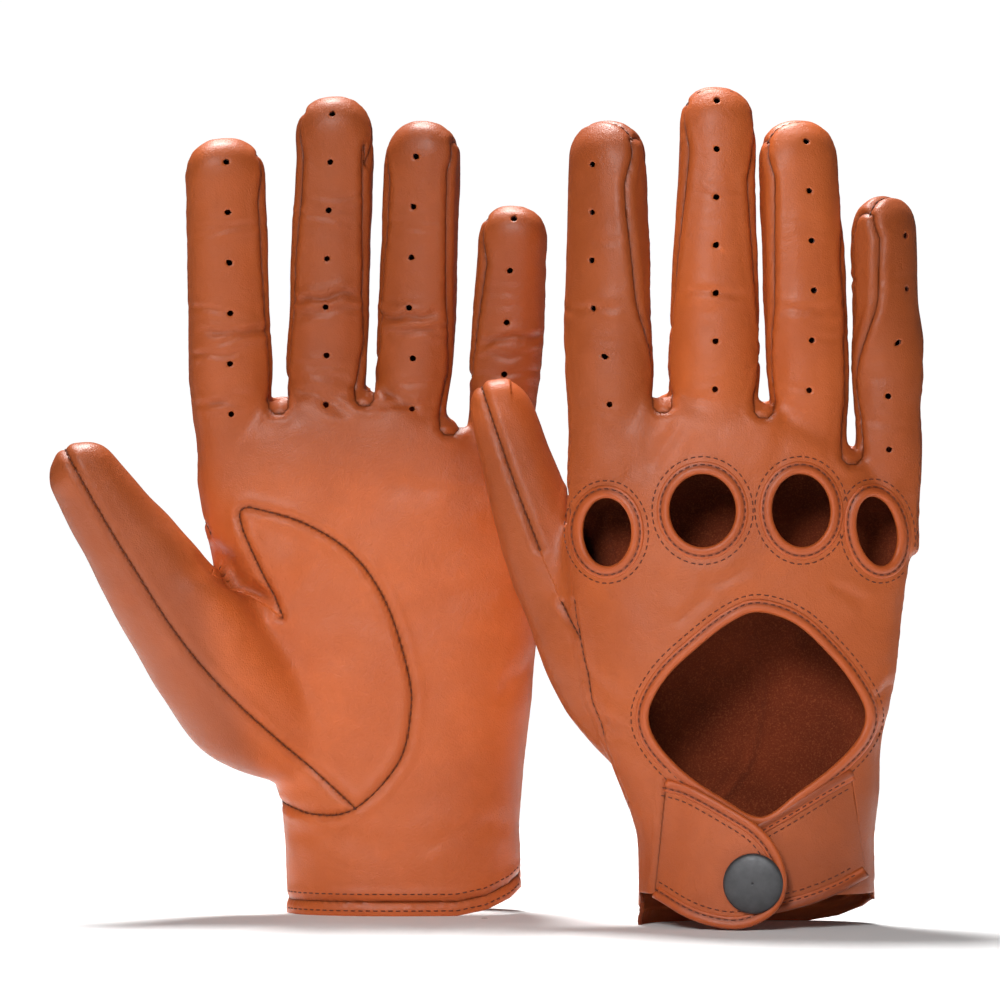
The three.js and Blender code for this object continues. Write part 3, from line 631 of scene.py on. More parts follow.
RIGHT_CREASES = [
    ((-16, 95.5), (-2, 101), 0.4, 1.5, 1), ((-12, 94.6), (-23, 85), 0.4, 1.6, 1),
    ((20, 97), (30, 90), 0.4, 1.5, 1), ((30, 62), (42, 70), 0.5, 1.6, 1),
    ((32, 54), (43, 58), 0.45, 1.4, 1), ((-30, 128), (-22, 141), 0.35, 2.0, 1),
    ((-48, 122), (-36, 130), 0.3, 2.0, 1), ((4, 126), (9, 142), 0.3, 2.2, 1),
    ((-49, 72), (-36, 62), 0.4, 2.2, 1), ((-46, 58), (-31, 49), 0.5, 2.2, 1),
    ((-56, 103), (-42, 90), 1.6, 3.5, -1), ((-52, 172), (-34, 174), 0.3, 1.1, 1),
    ((-22, 178), (-2, 177), 0.35, 1.1, 1), ((4, 172), (22, 173.5), 0.35, 1.1, 1),
    ((-66, 112), (-54, 104), 0.5, 1.8, -1),
]
PALM_CREASE_SHARE = 0.55  # how strong the creases are that each finger has of its own, on its palm side


def segment_distance(x, z, start, end):
    dx, dz = end[0] - start[0], end[1] - start[1]
    t = ((x - start[0]) * dx + (z - start[1]) * dz) / (dx * dx + dz * dz)
    return np.hypot(x - start[0] - np.clip(t, 0, 1) * dx, z - start[1] - np.clip(t, 0, 1) * dz), t


def crease(away, width):
    """A fold's profile: the groove, and the leather it pushes up on both sides."""
    return bell(away, width) - 0.45 * bell(away - 2.2 * width, 1.3 * width)


def folds(hand, p, normal):
    """How far the leather stands out of the smooth hand, and how wrinkled it is there."""
    seed = 1 if hand is LEFT else 2
    out = 0.55 * rough(p, 21, seed) + 0.2 * rough(p, 8, seed + 4)
    worn = np.zeros(len(p))
    x, z = p[:, 0] + 1.1 * rough(p, 7, seed + 9), p[:, 2] + 1.4 * rough(p, 6, seed + 11)
    for start, end, depth, width, side in LEFT_CREASES if hand is LEFT else RIGHT_CREASES:
        away, t = segment_distance(x, z, start, end)
        on_side = smoothstep(side * normal[:, 1], -0.05, 0.5)
        share = on_side * smoothstep(t, -0.12, 0.25) * smoothstep(1.12 - t, 0, 0.35)
        out -= share * depth * crease(away, width)
        worn = np.maximum(worn, share * min(1, depth) * bell(away, 3.2 * width + 1.5))
    palm_side = smoothstep(-normal[:, 1], -0.3, 0.6)
    rng = np.random.default_rng(seed)
    for name in FINGERS:
        t, across = finger_local(hand, name, p)
        _, _, length, (half, _), _ = finger_axis(hand, name)
        own = (np.abs(across) < half + 1.5) & (t > 0.25 * length)
        for joint, lines in ((0.32, 3), (0.5, 4), (0.74, 3)):
            for _ in range(lines):
                at = joint * length + rng.uniform(-5, 5)
                tilt, sway, phase = rng.uniform(-0.25, 0.25), rng.uniform(0.3, 1.2), rng.uniform(0, 6)
                run = t - at - tilt * across - sway * np.sin(across / 4 + phase)
                span = bell(across - rng.uniform(-5, 5), rng.uniform(5, 10))
                strength = PALM_CREASE_SHARE * rng.uniform(0.2, 0.6) * (0.3 + 0.7 * palm_side) * span * own
                out -= strength * crease(np.abs(run), 0.8)
    return out, worn


# How much painted shade each part of a glove gets, from 0 to 1: it stands for the shade on the fingers that
# curl away from the light, on the thumb and at the outer wrist under the strap. The index and little fingers
# have their own shade.
PAINTED_SHADE = dict(
    left=dict(body=0.0, fingers=0.4, thumb=0.42, index=0.28, little=0.4, wrist=0.12),
    right=dict(body=0.2, fingers=0.06, thumb=0.36, index=0.34, little=0.36, wrist=0.42),
)


PAINTED_SHADE_RISE = (112, 150)  # the heights between which the palm's shade turns into the fingers'
WRIST_RISE = (34, 62)  # and the wrist's into the palm's
THUMB_RISE = (128, 150)


def painted_shade(hand, p):
    """Painted shade on the leather, darker towards the fingertips, the thumb and the outer wrist, where less
    light falls.
    """
    table = PAINTED_SHADE[hand["name"]]
    out = table["body"] + (table["fingers"] - table["body"]) * smoothstep(p[:, 2], *PAINTED_SHADE_RISE)
    for name in ("index", "little"):
        _, across = finger_local(hand, name, p)
        mine = smoothstep(-np.abs(across), -16, -9) * smoothstep(p[:, 2], 100, 150)
        out = out + (table[name] - out) * mine
    centre, half = palm_at(hand, p[:, 2])
    outwards = (p[:, 0] - centre) / half
    at_wrist = smoothstep(outwards, -0.1, 0.7) * (1 - smoothstep(p[:, 2], *WRIST_RISE))
    out = out + (table["wrist"] - out) * at_wrist
    beside = smoothstep(-outwards, 0.95, 1.25) * (1 - smoothstep(p[:, 2], *THUMB_RISE))
    return out + (table["thumb"] - out) * beside


def posed(hand, p):
    """The flat hand's points with each finger rolled about its axis, the palm arched and the tips curled."""
    q = p.copy()
    start = hand["knuckles"]["peak_z"] + 1
    local = {name: finger_local(hand, name, p) for name in FINGERS}
    across = np.stack([np.abs(local[name][1]) for name in FINGERS])
    nearest = across.argmin(0)
    for i, name in enumerate(FINGERS):
        foot, along, _, (half, _), roll = finger_axis(hand, name)
        t, a = local[name]
        mine = (nearest == i) & (np.abs(a) < 2 * half)
        turn = roll * smoothstep(p[:, 2], start, start + 26) * mine
        a = a / (1 - FINGER_INSET / half * smoothstep(p[:, 2], start - 8, start + 6))
        across_new = a * np.cos(turn) - p[:, 1] * np.sin(turn)
        q[:, 1] = np.where(mine, a * np.sin(turn) + p[:, 1] * np.cos(turn), q[:, 1])
        q[:, 0] = np.where(mine, foot[0] + t * along[0] + across_new * along[1], q[:, 0])
        q[:, 2] = np.where(mine, foot[1] + t * along[1] - across_new * along[0], q[:, 2])
    top = hand["fingers"]["middle"][1][1]
    reach = np.maximum(0, (q[:, 2] - CURL_START) / (top - CURL_START))
    centre, half = palm_at(hand, p[:, 2])
    u = np.minimum(1, np.abs((p[:, 0] - centre) / half))
    q[:, 1] -= CURL * reach**2 + ARCH * u**2 * smoothstep(p[:, 2], ARCH_START, ARCH_FULL)
    return q


# ---- From the glove's frame to the shared one ----
PALM_FACE = CUFF_HALF_DEPTH + BINDING_PROUD


def place_of(hand):
    """The glove's origin in the shared frame, from where the CAD's snap and cuff are."""
    low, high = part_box(hand["name"] + "_snap_stud")
    cuff_low, cuff_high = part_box(hand["name"] + "_cuff_binding")
    x = (low.x + high.x) / 2 / MM - SNAP_X
    y = cuff_low.y / MM + PALM_FACE if hand is LEFT else cuff_high.y / MM - PALM_FACE
    return np.array([x, y, 0])


def to_world(hand, points):
    mirror = np.array([1, 1, 1]) if hand is LEFT else np.array([1, -1, 1])
    return (points * mirror + place_of(hand)) * MM


def new_piece(hand, name, points, faces, materials, material_index=None, attributes=None, body="glove"):
    """A smooth-shaded object from points in the glove's frame, riding on one of the glove's bodies."""
    faces = np.asarray(faces)
    if hand is RIGHT:
        faces = faces[:, ::-1]
    mesh = bpy.data.meshes.new(hand["name"] + "_" + name)
    mesh.from_pydata(to_world(hand, points).tolist(), [], faces.tolist())
    for material in materials:
        mesh.materials.append(material)
    if material_index is not None:
        mesh.polygons.foreach_set("material_index", np.asarray(material_index, dtype=np.int32))
    for key, values in (attributes or {}).items():
        attribute = mesh.attributes.new(key, "FLOAT", "POINT")
        attribute.data.foreach_set("value", np.asarray(values, dtype=np.float32))
    mesh.polygons.foreach_set("use_smooth", np.ones(len(mesh.polygons), bool))
    mesh.update()
    piece = bpy.data.objects.new(mesh.name + "_look", mesh)
    bpy.context.scene.collection.objects.link(piece)
    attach(piece, hand["name"] + "_" + body)
    return piece


def leather_sheet(hand, name, mask, skin, body="glove", bend=None):
    """A closed sheet of leather from the marked faces of a skin: outer face, suede inside, and the edge."""
    faces = skin["faces"][mask]
    used, local = np.unique(faces, return_inverse=True)
    faces = local.reshape(-1, 3)
    outer, inner = skin["outer"][used], skin["inner"][used]
    if bend:
        outer, inner = bend(outer), bend(inner)
    count = len(used)
    directed = np.concatenate([faces[:, [0, 1]], faces[:, [1, 2]], faces[:, [2, 0]]])
    keys = directed[:, 0] * count + directed[:, 1]
    twins = directed[:, 1] * count + directed[:, 0]
    rim = directed[~np.isin(keys, twins)]
    u, v = rim.T
    walls = np.concatenate([
        np.stack([v, u, u + count], axis=1),
        np.stack([v, u + count, v + count], axis=1),
    ])
    everything = np.concatenate([faces, faces[:, ::-1] + count, walls])
    folded_in = skin["outer"][used][faces].mean(axis=1)[:, 2] < HEM_FOLD
    index = np.concatenate([np.zeros(len(faces)), ~(folded_in & (body == "glove")), np.ones(len(walls))])
    marks = {
        "seam": np.concatenate([skin["seam"][used], np.zeros(count)]),
        "worn": np.tile(skin["worn"][used], 2),
        "shade": np.tile(skin["shade"][used], 2),
    }
    skins = [MATERIALS["leather"], MATERIALS["suede"]]
    piece = new_piece(hand, name, np.concatenate([outer, inner]), everything, skins, index, marks, body)
    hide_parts(hand["name"] + "_" + name)
    return piece


# ---- Beads and thread ----
def frames_along(path, normal, closed):
    """Unit vectors along a path, sideways and out of the surface."""
    if closed:
        along = np.roll(path, -1, axis=0) - np.roll(path, 1, axis=0)
    else:
        along = np.gradient(path, axis=0)
    along /= np.linalg.norm(along, axis=1)[:, None] + 1e-12
    side = np.cross(along, normal)
    side /= np.linalg.norm(side, axis=1)[:, None] + 1e-12
    return along, side, np.cross(side, along)


def swept(columns, closed):
    """Faces of a closed section carried along a path: columns has a row of points for each of its places."""
    count, sides = columns.shape[:2]
    points = columns.reshape(-1, 3)
    steps = np.arange(count if closed else count - 1)
    faces = []
    for k in range(sides):
        a = steps * sides + k
        b = steps * sides + (k + 1) % sides
        c = ((steps + 1) % count) * sides + (k + 1) % sides
        d = ((steps + 1) % count) * sides + k
        faces.append(np.stack([a, b, c, d], axis=1))
    faces = np.concatenate(faces)
    if closed:
        return points, faces, None
    caps = [np.arange(sides)[::-1], (count - 1) * sides + np.arange(sides)]
    return points, faces, caps


# The folded strip on a bound edge: how far from the edge, and how high above the panel.
BEAD = [
    (-0.75, -0.35), (-0.62, 0.3), (-0.15, 0.78), (0.5, 0.86), (1.15, 0.66),
    (1.6, 0.36), (1.85, 0.3), (2.3, 0.4), (2.75, 0.22), (2.9, -0.2),
    (2.2, -0.5), (2.2, -1.15), (1.2, -1.5), (0.1, -1.55), (-0.55, -1.1),
]


def triangles(faces, caps):
    out = [faces[:, [0, 1, 2]], faces[:, [0, 2, 3]]]
    for cap in caps or []:
        out.append(np.array([(cap[0], cap[k], cap[k + 1]) for k in range(1, len(cap) - 1)]))
    return np.concatenate(out)


def facing_out(points, faces):
    """The faces of a closed solid, turned so that they face out."""
    centre = points.mean(0)
    a, b, c = (points[faces[:, k]] - centre for k in range(3))
    return faces[:, ::-1] if np.einsum("ij,ij->", a, np.cross(b, c)) < 0 else faces


BEAD_PITCH = 0.9
BEAD_VALLEY = 1.72  # from the edge to where its stitches pull the binding down


def bound_edge(hand, name, surface, outline, closed, body="glove", bend=None):
    """A binding whose section follows BEAD from an outline over the leather. A closed outline is the edge
    of a hole, with the leather outside it, and an open one is the edge of a flap."""
    path = resampled(outline, BEAD_PITCH, closed)
    onto_leather = 1 if closed else -1
    away = outward_of(path, closed) * onto_leather
    ripple = 1 + 0.06 * np.array([noise.noise(Vector((p[0] / 3, p[1] / 3, 4))) for p in path])
    columns = []
    for distance, height in BEAD:
        spot, normal = surface(path + away * distance)
        columns.append(spot + normal * (height * ripple)[:, None])
    columns = np.stack(columns, axis=1)
    if area_sign(path) * onto_leather < 0:
        columns = columns[:, ::-1]
    points, faces, caps = swept(columns, closed)
    points = bend(points) if bend else posed(hand, points)
    faces = facing_out(points, triangles(faces, caps))
    distances = np.tile([abs(d - BEAD_VALLEY) for d, _ in BEAD], len(path))
    heights = np.tile([h for _, h in BEAD], len(path))
    seam = 0.75 * bell(distances, 0.22) * (heights > 0) + 0.6 * (heights < -0.4)
    piece = new_piece(hand, name, points, faces, [MATERIALS["binding"]], None, {"seam": seam}, body)
    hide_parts(hand["name"] + "_" + name)
    return piece


# The two rows of stitches beside a bound edge: how far from the edge, and how high above the leather.
ON_BINDING = (1.85, 0.4)
BESIDE_BINDING = (4.1, 0.08)
HEM_ROWS = (1.5, HEM_HEIGHT + 2.2)  # heights of the two rows round the cuff
UNDERLAP_ROW_END = 3  # stitch places left out at each end of an underlap's row, so that it clears the back
STITCH_LENGTH = 1.55
STITCH_PITCH = 2.15
ROW_PITCH = 1.2  # between the points that a row's line is laid through
SEAM_STITCH_HEIGHT = 0.22
SHORTEST_SEAM = 8  # points of a seam that is long enough to be stitched
THREAD_RADIUS = 0.19


def stitch_row(path, normal, closed, height):
    """Stitches along a path, at a height above it: (points, faces)."""
    spots = resampled(np.concatenate([path, normal], axis=1), STITCH_PITCH, closed)
    path, normal = spots[:, :3], spots[:, 3:]
    along, side, out = frames_along(path, normal, closed)
    points, faces = [], []
    profile = ((-0.5, 0.25, -0.25), (-0.3, 0.95, 0.0), (0.3, 0.95, 0.0), (0.5, 0.25, -0.25))
    sides = 6
    angles = np.linspace(0, 2 * math.pi, sides, endpoint=False)
    for i in range(len(path)):
        base = i * (len(profile) * sides)
        for shift, width, sink in profile:
            centre = path[i] + along[i] * (shift * STITCH_LENGTH) + out[i] * (height + sink * 0.8)
            for angle in angles:
                outwards = math.cos(angle) * side[i] + math.sin(angle) * out[i]
                points.append(centre + THREAD_RADIUS * width * outwards)
        for r in range(len(profile) - 1):
            for k in range(sides):
                a, b = base + r * sides + k, base + r * sides + (k + 1) % sides
                faces += [(a, a + sides, b), (b, a + sides, b + sides)]
        first, last = base, base + (len(profile) - 1) * sides
        faces += [(first, first + k, first + k + 1) for k in range(1, sides - 1)]
        faces += [(last, last + k + 1, last + k) for k in range(1, sides - 1)]
    return np.array(points), np.array(faces)


def thread_piece(hand, rows, body):
    start, points, faces = 0, [], []
    for row_points, row_faces in rows:
        points.append(row_points)
        faces.append(row_faces + start)
        start += len(row_points)
    points, faces = np.concatenate(points), np.concatenate(faces)
    piece = new_piece(hand, body + "_thread", points, faces, [MATERIALS["thread"]], body=body)
    return piece


def chains(edges):
    """Runs of points along the given edges, each ending where seams meet or start."""
    near = {}
    for a, b in edges.tolist():
        near.setdefault(a, []).append(b)
        near.setdefault(b, []).append(a)
    used, out = set(), []

    def walk(a, b):
        run = [a, b]
        used.add((min(a, b), max(a, b)))
        while len(near[run[-1]]) == 2:
            nxt = [n for n in near[run[-1]] if (min(n, run[-1]), max(n, run[-1])) not in used]
            if not nxt:
                break
            used.add((min(nxt[0], run[-1]), max(nxt[0], run[-1])))
            run.append(nxt[0])
        return run

    ends = [v for v in near if len(near[v]) != 2]
    for v in ends + list(near):
        for n in near[v]:
            if (min(v, n), max(v, n)) not in used:
                out.append(walk(v, n))
    return out


# ---- One glove ----
FLAP_LIFT_RUN = 9  # a lifted flap bends up over this distance from its seam
SNAP_STACK = SNAP_GAP + STUD_HEIGHT + 2 * SNAP_GAP
CROTCH_SOFTNESS = 9  # no seam shows this near to the thumb's crotch
# A seam lies in a groove, with swollen leather beside it and small puckers in between.
PUCKER, PUCKER_SIZE, PUCKER_WIDTH, PUCKER_AT = 0.22, 2.1, 1.3, 1.1
GROOVE, GROOVE_WIDTH = 0.5, 0.8
SWELL, SWELL_WIDTH, SWELL_AT = 0.3, 1.4, 2.4


def wrist_depth(hand, x, z):
    rows = np.array(hand["palm"])
    centre, half, depth = (np.interp(z, rows[:, 0], rows[:, k]) for k in (1, 2, 3))
    u = np.minimum(np.abs((x - centre) / half), 1)
    return depth * (1 - u**PALM_SQUARENESS) ** (1 / PALM_SQUARENESS)


def strap_lift(hand):
    """The strap's bend about its seam: the foot and direction of that line, and the CAD model's angle."""
    ends = [np.array([x, wrist_depth(hand, x, z) + HINGE_STANDOFF, z]) for x, z in (STRAP[0], STRAP[-1])]
    foot = ends[1]
    axis = (ends[0] - foot) / np.linalg.norm(ends[0] - foot)
    to_snap = np.array([SNAP_X, wrist_depth(hand, SNAP_X, SNAP_Z), SNAP_Z]) - foot
    distance = np.linalg.norm(np.cross(to_snap, axis))
    return foot, axis, math.asin((SNAP_STACK + LEATHER) / distance)


def lifted(hand, points):
    """Points of the strap, turned up about its seam."""
    foot, axis, full = strap_lift(hand)
    flat = np.array([axis[2], 0, -axis[0]])
    run = (points - foot) @ flat
    angle = full * smoothstep(run, -2, FLAP_LIFT_RUN)
    rel = points - foot
    c, s = np.cos(angle)[:, None], np.sin(angle)[:, None]
    return foot + rel * c + np.cross(axis, rel) * s + axis * (rel @ axis)[:, None] * (1 - c)


def make_skin(hand):
    """The hand's skin cut along every seam, with a label for each face."""
    points, faces = hand_skin(hand)
    thumb, parting = thumb_fields(hand)
    opening = curve_through(on_palm(hand, OPENING), 6, closed=True)
    strap = curve_through(STRAP, 6)
    underlap = curve_through(UNDERLAP, 6)
    holes = {name: ellipse(on_palm(hand, [(u, z)])[0, 0], z, rx, rz, tilt)
             for name, (u, z, rx, rz, tilt) in KNUCKLES.items()}
    fields = {"cuff": cuff_field(hand)}
    pairs = list(zip(FINGERS, FINGERS[1:]))
    for a, b in pairs:
        fields[f"fourchette_{a}_{b}"] = strip_field(hand, a, b)
    fields["thumb"] = thumb
    fields["parting"] = parting
    fields["side"] = lambda p: p[:, 1] - SEAM_DEPTH
    fields["hem"] = lambda p: np.maximum(fields["cuff"](p) - HEM_HEIGHT, p[:, 1] - 1)
    fields["opening"] = on_back(opening)
    fields["strap"] = on_back(strap)
    fields["underlap"] = on_back(underlap)
    for name, hole in holes.items():
        fields["hole_" + name] = on_back(hole)
    # A ring round each punched hole is cut first, so that the hole itself has small, even triangles.
    fields["punching_ring"] = lambda p: fields["punched"](p) - HOLE_RADIUS
    fields["punched"] = hole_field(hand)
    for name, field in fields.items():
        points, faces = cut(points, faces, field)
    faces = without_slivers(points, faces)
    middle = points[faces].mean(axis=1)
    inside = {name: field(middle) < 0 for name, field in fields.items()}
    label = np.full(len(faces), "palm_panel", dtype="<U32")
    label[~inside["side"]] = "back_panel"
    label[inside["hem"]] = "cuff_binding"
    for a, b in pairs:
        label[inside[f"fourchette_{a}_{b}"]] = f"fourchette_{a}_{b}"
    label[inside["thumb"]] = "thumb_inner_panel"
    label[inside["parting"]] = "thumb_outer_panel"
    label[inside["strap"] & ~inside["side"]] = "strap_panel"
    label[inside["opening"] & (label == "back_panel")] = "cut"
    for name in holes:
        label[inside["hole_" + name]] = "cut"
    label[inside["punched"]] = "cut"
    # The underlap lies under the strap, so its faces are marked apart from the rest.
    under = inside["underlap"] & (middle[:, 1] > 1)
    label[under & (label != "strap_panel")] = "cut"
    back_edge = (middle[:, 1] > 0) & (middle[:, 2] < VENT_HEIGHT)
    label[(label == "back_panel") & back_edge] = "cut"
    label[inside["cuff"] & ~under & (label != "strap_panel")] = "cut"
    return points, faces, label, under, dict(opening=opening, strap=strap, underlap=underlap, holes=holes)


def seam_edges(faces, label):
    """Edges between faces of unlike labels, but for what is cut away, and the labels beside each."""
    pairs = np.sort(np.concatenate([faces[:, [0, 1]], faces[:, [1, 2]], faces[:, [2, 0]]]), axis=1)
    owner = np.tile(np.arange(len(faces)), 3)
    order = np.lexsort((pairs[:, 1], pairs[:, 0]))
    pairs, owner = pairs[order], owner[order]
    same = (pairs[1:] == pairs[:-1]).all(axis=1)
    one, two = owner[:-1][same], owner[1:][same]
    joint = pairs[:-1][same]
    differ = (label[one] != label[two]) & (label[one] != "cut") & (label[two] != "cut")
    return joint[differ], np.stack([label[one], label[two]], axis=1)[differ]


def near_lines(points, edges):
    """Distance from each point to the nearest point of some edges."""
    tree = KDTree(len(np.unique(edges)))
    for i, v in enumerate(np.unique(edges)):
        tree.insert(points[v], i)
    tree.balance()
    return np.array([tree.find(p)[2] for p in points])


def build_glove(hand):
    points, faces, label, under, outlines = make_skin(hand)
    normal = normals_of(points, faces)
    seams, sides = seam_edges(faces, label)
    # The thumb's leather runs into the palm without a seam at the crotch, where it only folds.
    centre = points[seams].mean(axis=1)
    is_thumb = np.char.startswith(sides, "thumb").any(axis=1) & (sides == "palm_panel").any(axis=1)
    patch = on_palm(hand, THENAR)
    away, along = segment_distance(centre[:, 0], centre[:, 2], patch[0], patch[THENAR_NOTCH])
    folded = is_thumb & (away < 1) & (along < 0.96) & (centre[:, 1] < SEAM_DEPTH - 0.3)
    crotch = np.hypot(centre[:, 0] - patch[0, 0], centre[:, 2] - patch[0, 1]) < CROTCH_SOFTNESS
    folded |= crotch & np.char.startswith(sides, "thumb").any(axis=1)
    seams, sides = seams[~folded], sides[~folded]
    from_seam = near_lines(points, seams)
    stand, worn = folds(hand, points, normal)
    pucker = rough(points, PUCKER_SIZE, 5) * bell(from_seam - PUCKER_AT, PUCKER_WIDTH)
    stand += PUCKER * pucker - GROOVE * bell(from_seam, GROOVE_WIDTH)
    stand += SWELL * bell(from_seam - SWELL_AT, SWELL_WIDTH)
    outer = points + normal * stand[:, None]
    # The shade mark is painted shade, darker towards the fingertips, the thumb and the outer wrist.
    skin = dict(
        faces=faces, outer=outer, inner=outer - normal * WALL,
        seam=np.clip(0.85 * bell(from_seam, 0.3) + 0.16 * bell(from_seam, 1.6), 0, 1), worn=worn,
        shade=painted_shade(hand, points),
    )
    flat_skin = dict(skin, outer=points, inner=points - normal * WALL)
    pose = lambda p: posed(hand, p)
    for name in np.unique(label):
        if name in ("cut", "strap_panel"):
            continue
        leather_sheet(hand, str(name), label == name, skin, bend=pose)
    leather_sheet(hand, "strap_panel", label == "strap_panel", flat_skin, "strap", lambda p: lifted(hand, p))
    leather_sheet(hand, "underlap_panel", under, flat_skin, "underlap")
    bare = surface_of(points, faces)
    bindings(hand, bare, outlines)
    sew(hand, outer, normal, seams, sides, bare, surface_of(outer, faces), outlines)


RAY_START = 60  # well clear of the hand on either side


def surface_of(points, faces):
    """A function from places in the plane of the hand to points and normals on its back."""
    tree = BVHTree.FromPolygons(points.tolist(), faces.tolist())

    def surface(places, side=1):
        spots, normals = [], []
        for x, z in places:
            hit, normal, _, _ = tree.ray_cast(Vector((x, side * RAY_START, z)), Vector((0, -side, 0)))
            if hit is None:
                hit, normal, _, _ = tree.find_nearest(Vector((x, side * 10, z)))
            spots.append(hit)
            normals.append(normal)
        spots, normals = np.array(spots), np.array(normals)
        for _ in range(3):
            normals[1:-1] = (normals[:-2] + normals[1:-1] + normals[2:]) / 3
        return spots, normals / np.linalg.norm(normals, axis=1)[:, None]

    return surface


def bindings(hand, surface, outlines):
    bound_edge(hand, "opening_binding", surface, outlines["opening"], True)
    for name, hole in outlines["holes"].items():
        bound_edge(hand, "knuckle_binding_" + name, surface, hole, True)
    bound_edge(hand, "strap_binding", surface, outlines["strap"], False, "strap", lambda p: lifted(hand, p))
    bound_edge(hand, "underlap_binding", surface, outlines["underlap"], False, "underlap", lambda p: p)


def sew(hand, outer, normal, seams, sides, bare, skin, outlines):
    """Stitches beside the seams of the palm and along the bound edges."""
    rows = {"glove": [], "strap": [], "underlap": []}
    pose = lambda p: posed(hand, p)

    def along_outline(outline, inset, closed, bend, body, surface, height, clear_of=None, trim=0):
        line = resampled(outline, ROW_PITCH, closed)
        line = offset_outline(line, inset, closed)
        if clear_of:
            free = np.min([outline_distance(line[:, 0], line[:, 1], flap) for flap in clear_of], axis=0) > 0.5
            start = np.flatnonzero(free & ~np.roll(free, 1))[0]
            line = np.roll(line, -start, axis=0)[: free.sum()]
            closed = False
        spots, normals = surface(line[trim:len(line) - trim])
        points, faces = stitch_row(spots, normals, closed, height)
        rows[body].append((bend(points), faces))

    flaps = [outlines["strap"], outlines["underlap"]]
    for (inset, height), surface in ((ON_BINDING, bare), (BESIDE_BINDING, skin)):
        along_outline(outlines["opening"], inset, True, pose, "glove", surface, height, flaps)
        for hole in outlines["holes"].values():
            along_outline(hole, inset, True, pose, "glove", surface, height)
    for inset, height in (ON_BINDING, BESIDE_BINDING):
        along_outline(outlines["strap"], -inset, False, lambda p: lifted(hand, p), "strap", bare, height)
        along_outline(outlines["underlap"], -inset, False, lambda p: p, "underlap", bare, height,
                      trim=UNDERLAP_ROW_END)
    for height in HEM_ROWS:
        shares = np.linspace(-0.97, 0.97, 120)
        centre, half = palm_at(hand, height)
        edge = np.interp(shares, [c[0] for c in CUFF_EDGE], [c[1] for c in CUFF_EDGE])
        spots, normals = skin(np.stack([centre + shares * half, edge + height], axis=1), -1)
        rows["glove"].append(stitch_row(spots, normals, False, BESIDE_BINDING[1]))
    stitched = {"thumb_inner_panel", "thumb_outer_panel", "palm_panel", "back_panel"}
    wanted = np.array([set(pair) <= stitched for pair in sides])
    for run in chains(seams[wanted]):
        if len(run) < SHORTEST_SEAM:
            continue
        line = outer[run]
        for _ in range(4):
            line[1:-1] = (line[:-2] + line[1:-1] * 2 + line[2:]) / 4
        points, faces = stitch_row(line, normal[run], False, SEAM_STITCH_HEIGHT)
        rows["glove"].append((pose(points), faces))
    for body, made in rows.items():
        thread_piece(hand, made, body)


# ---- Materials ----
def shader(name):
    material = bpy.data.materials.new(name)
    material.use_nodes = True
    tree = material.node_tree
    return material, tree, tree.nodes["Principled BSDF"]


def node(tree, kind, settings=None, **inputs):
    made = tree.nodes.new("ShaderNode" + kind)
    for key, value in (settings or {}).items():
        setattr(made, key, value)
    for key, value in inputs.items():
        numbered = key[0] == "i" and key[1:].isdigit()
        socket = made.inputs[int(key[1:]) if numbered else key.replace("_", " ")]
        if isinstance(value, bpy.types.NodeSocket):
            tree.links.new(value, socket)
        else:
            socket.default_value = value
    return made


def noise_of(tree, scale, detail=4.0, roughness=0.55, distortion=0.0):
    place = node(tree, "TexCoord").outputs["Object"]
    settings = dict(Scale=scale, Detail=detail, Roughness=roughness, Distortion=distortion)
    return node(tree, "TexNoise", None, Vector=place, **settings).outputs["Fac"]


def mixed(tree, a, b, share):
    return node(tree, "MixRGB", None, Fac=share, Color1=a, Color2=b).outputs["Color"]


def ramp(tree, value, low, high, to_low=0.0, to_high=1.0):
    return node(tree, "MapRange", None, Value=value, From_Min=low, From_Max=high, To_Min=to_low,
                To_Max=to_high).outputs["Result"]


def product(tree, a, b):
    return node(tree, "Math", {"operation": "MULTIPLY"}, i0=a, i1=b).outputs["Value"]


def bumped(tree, strength, distance, height, **under):
    """A normal raised by a height map, over another normal where one is given."""
    made = node(tree, "Bump", None, Strength=strength, Distance=distance, Height=height, **under)
    return made.outputs["Normal"]


def tinted(colour, share):
    """A colour made darker by a share under 1, or lighter by one over 1."""
    return (*[min(1, c * share) for c in colour[:3]], 1)


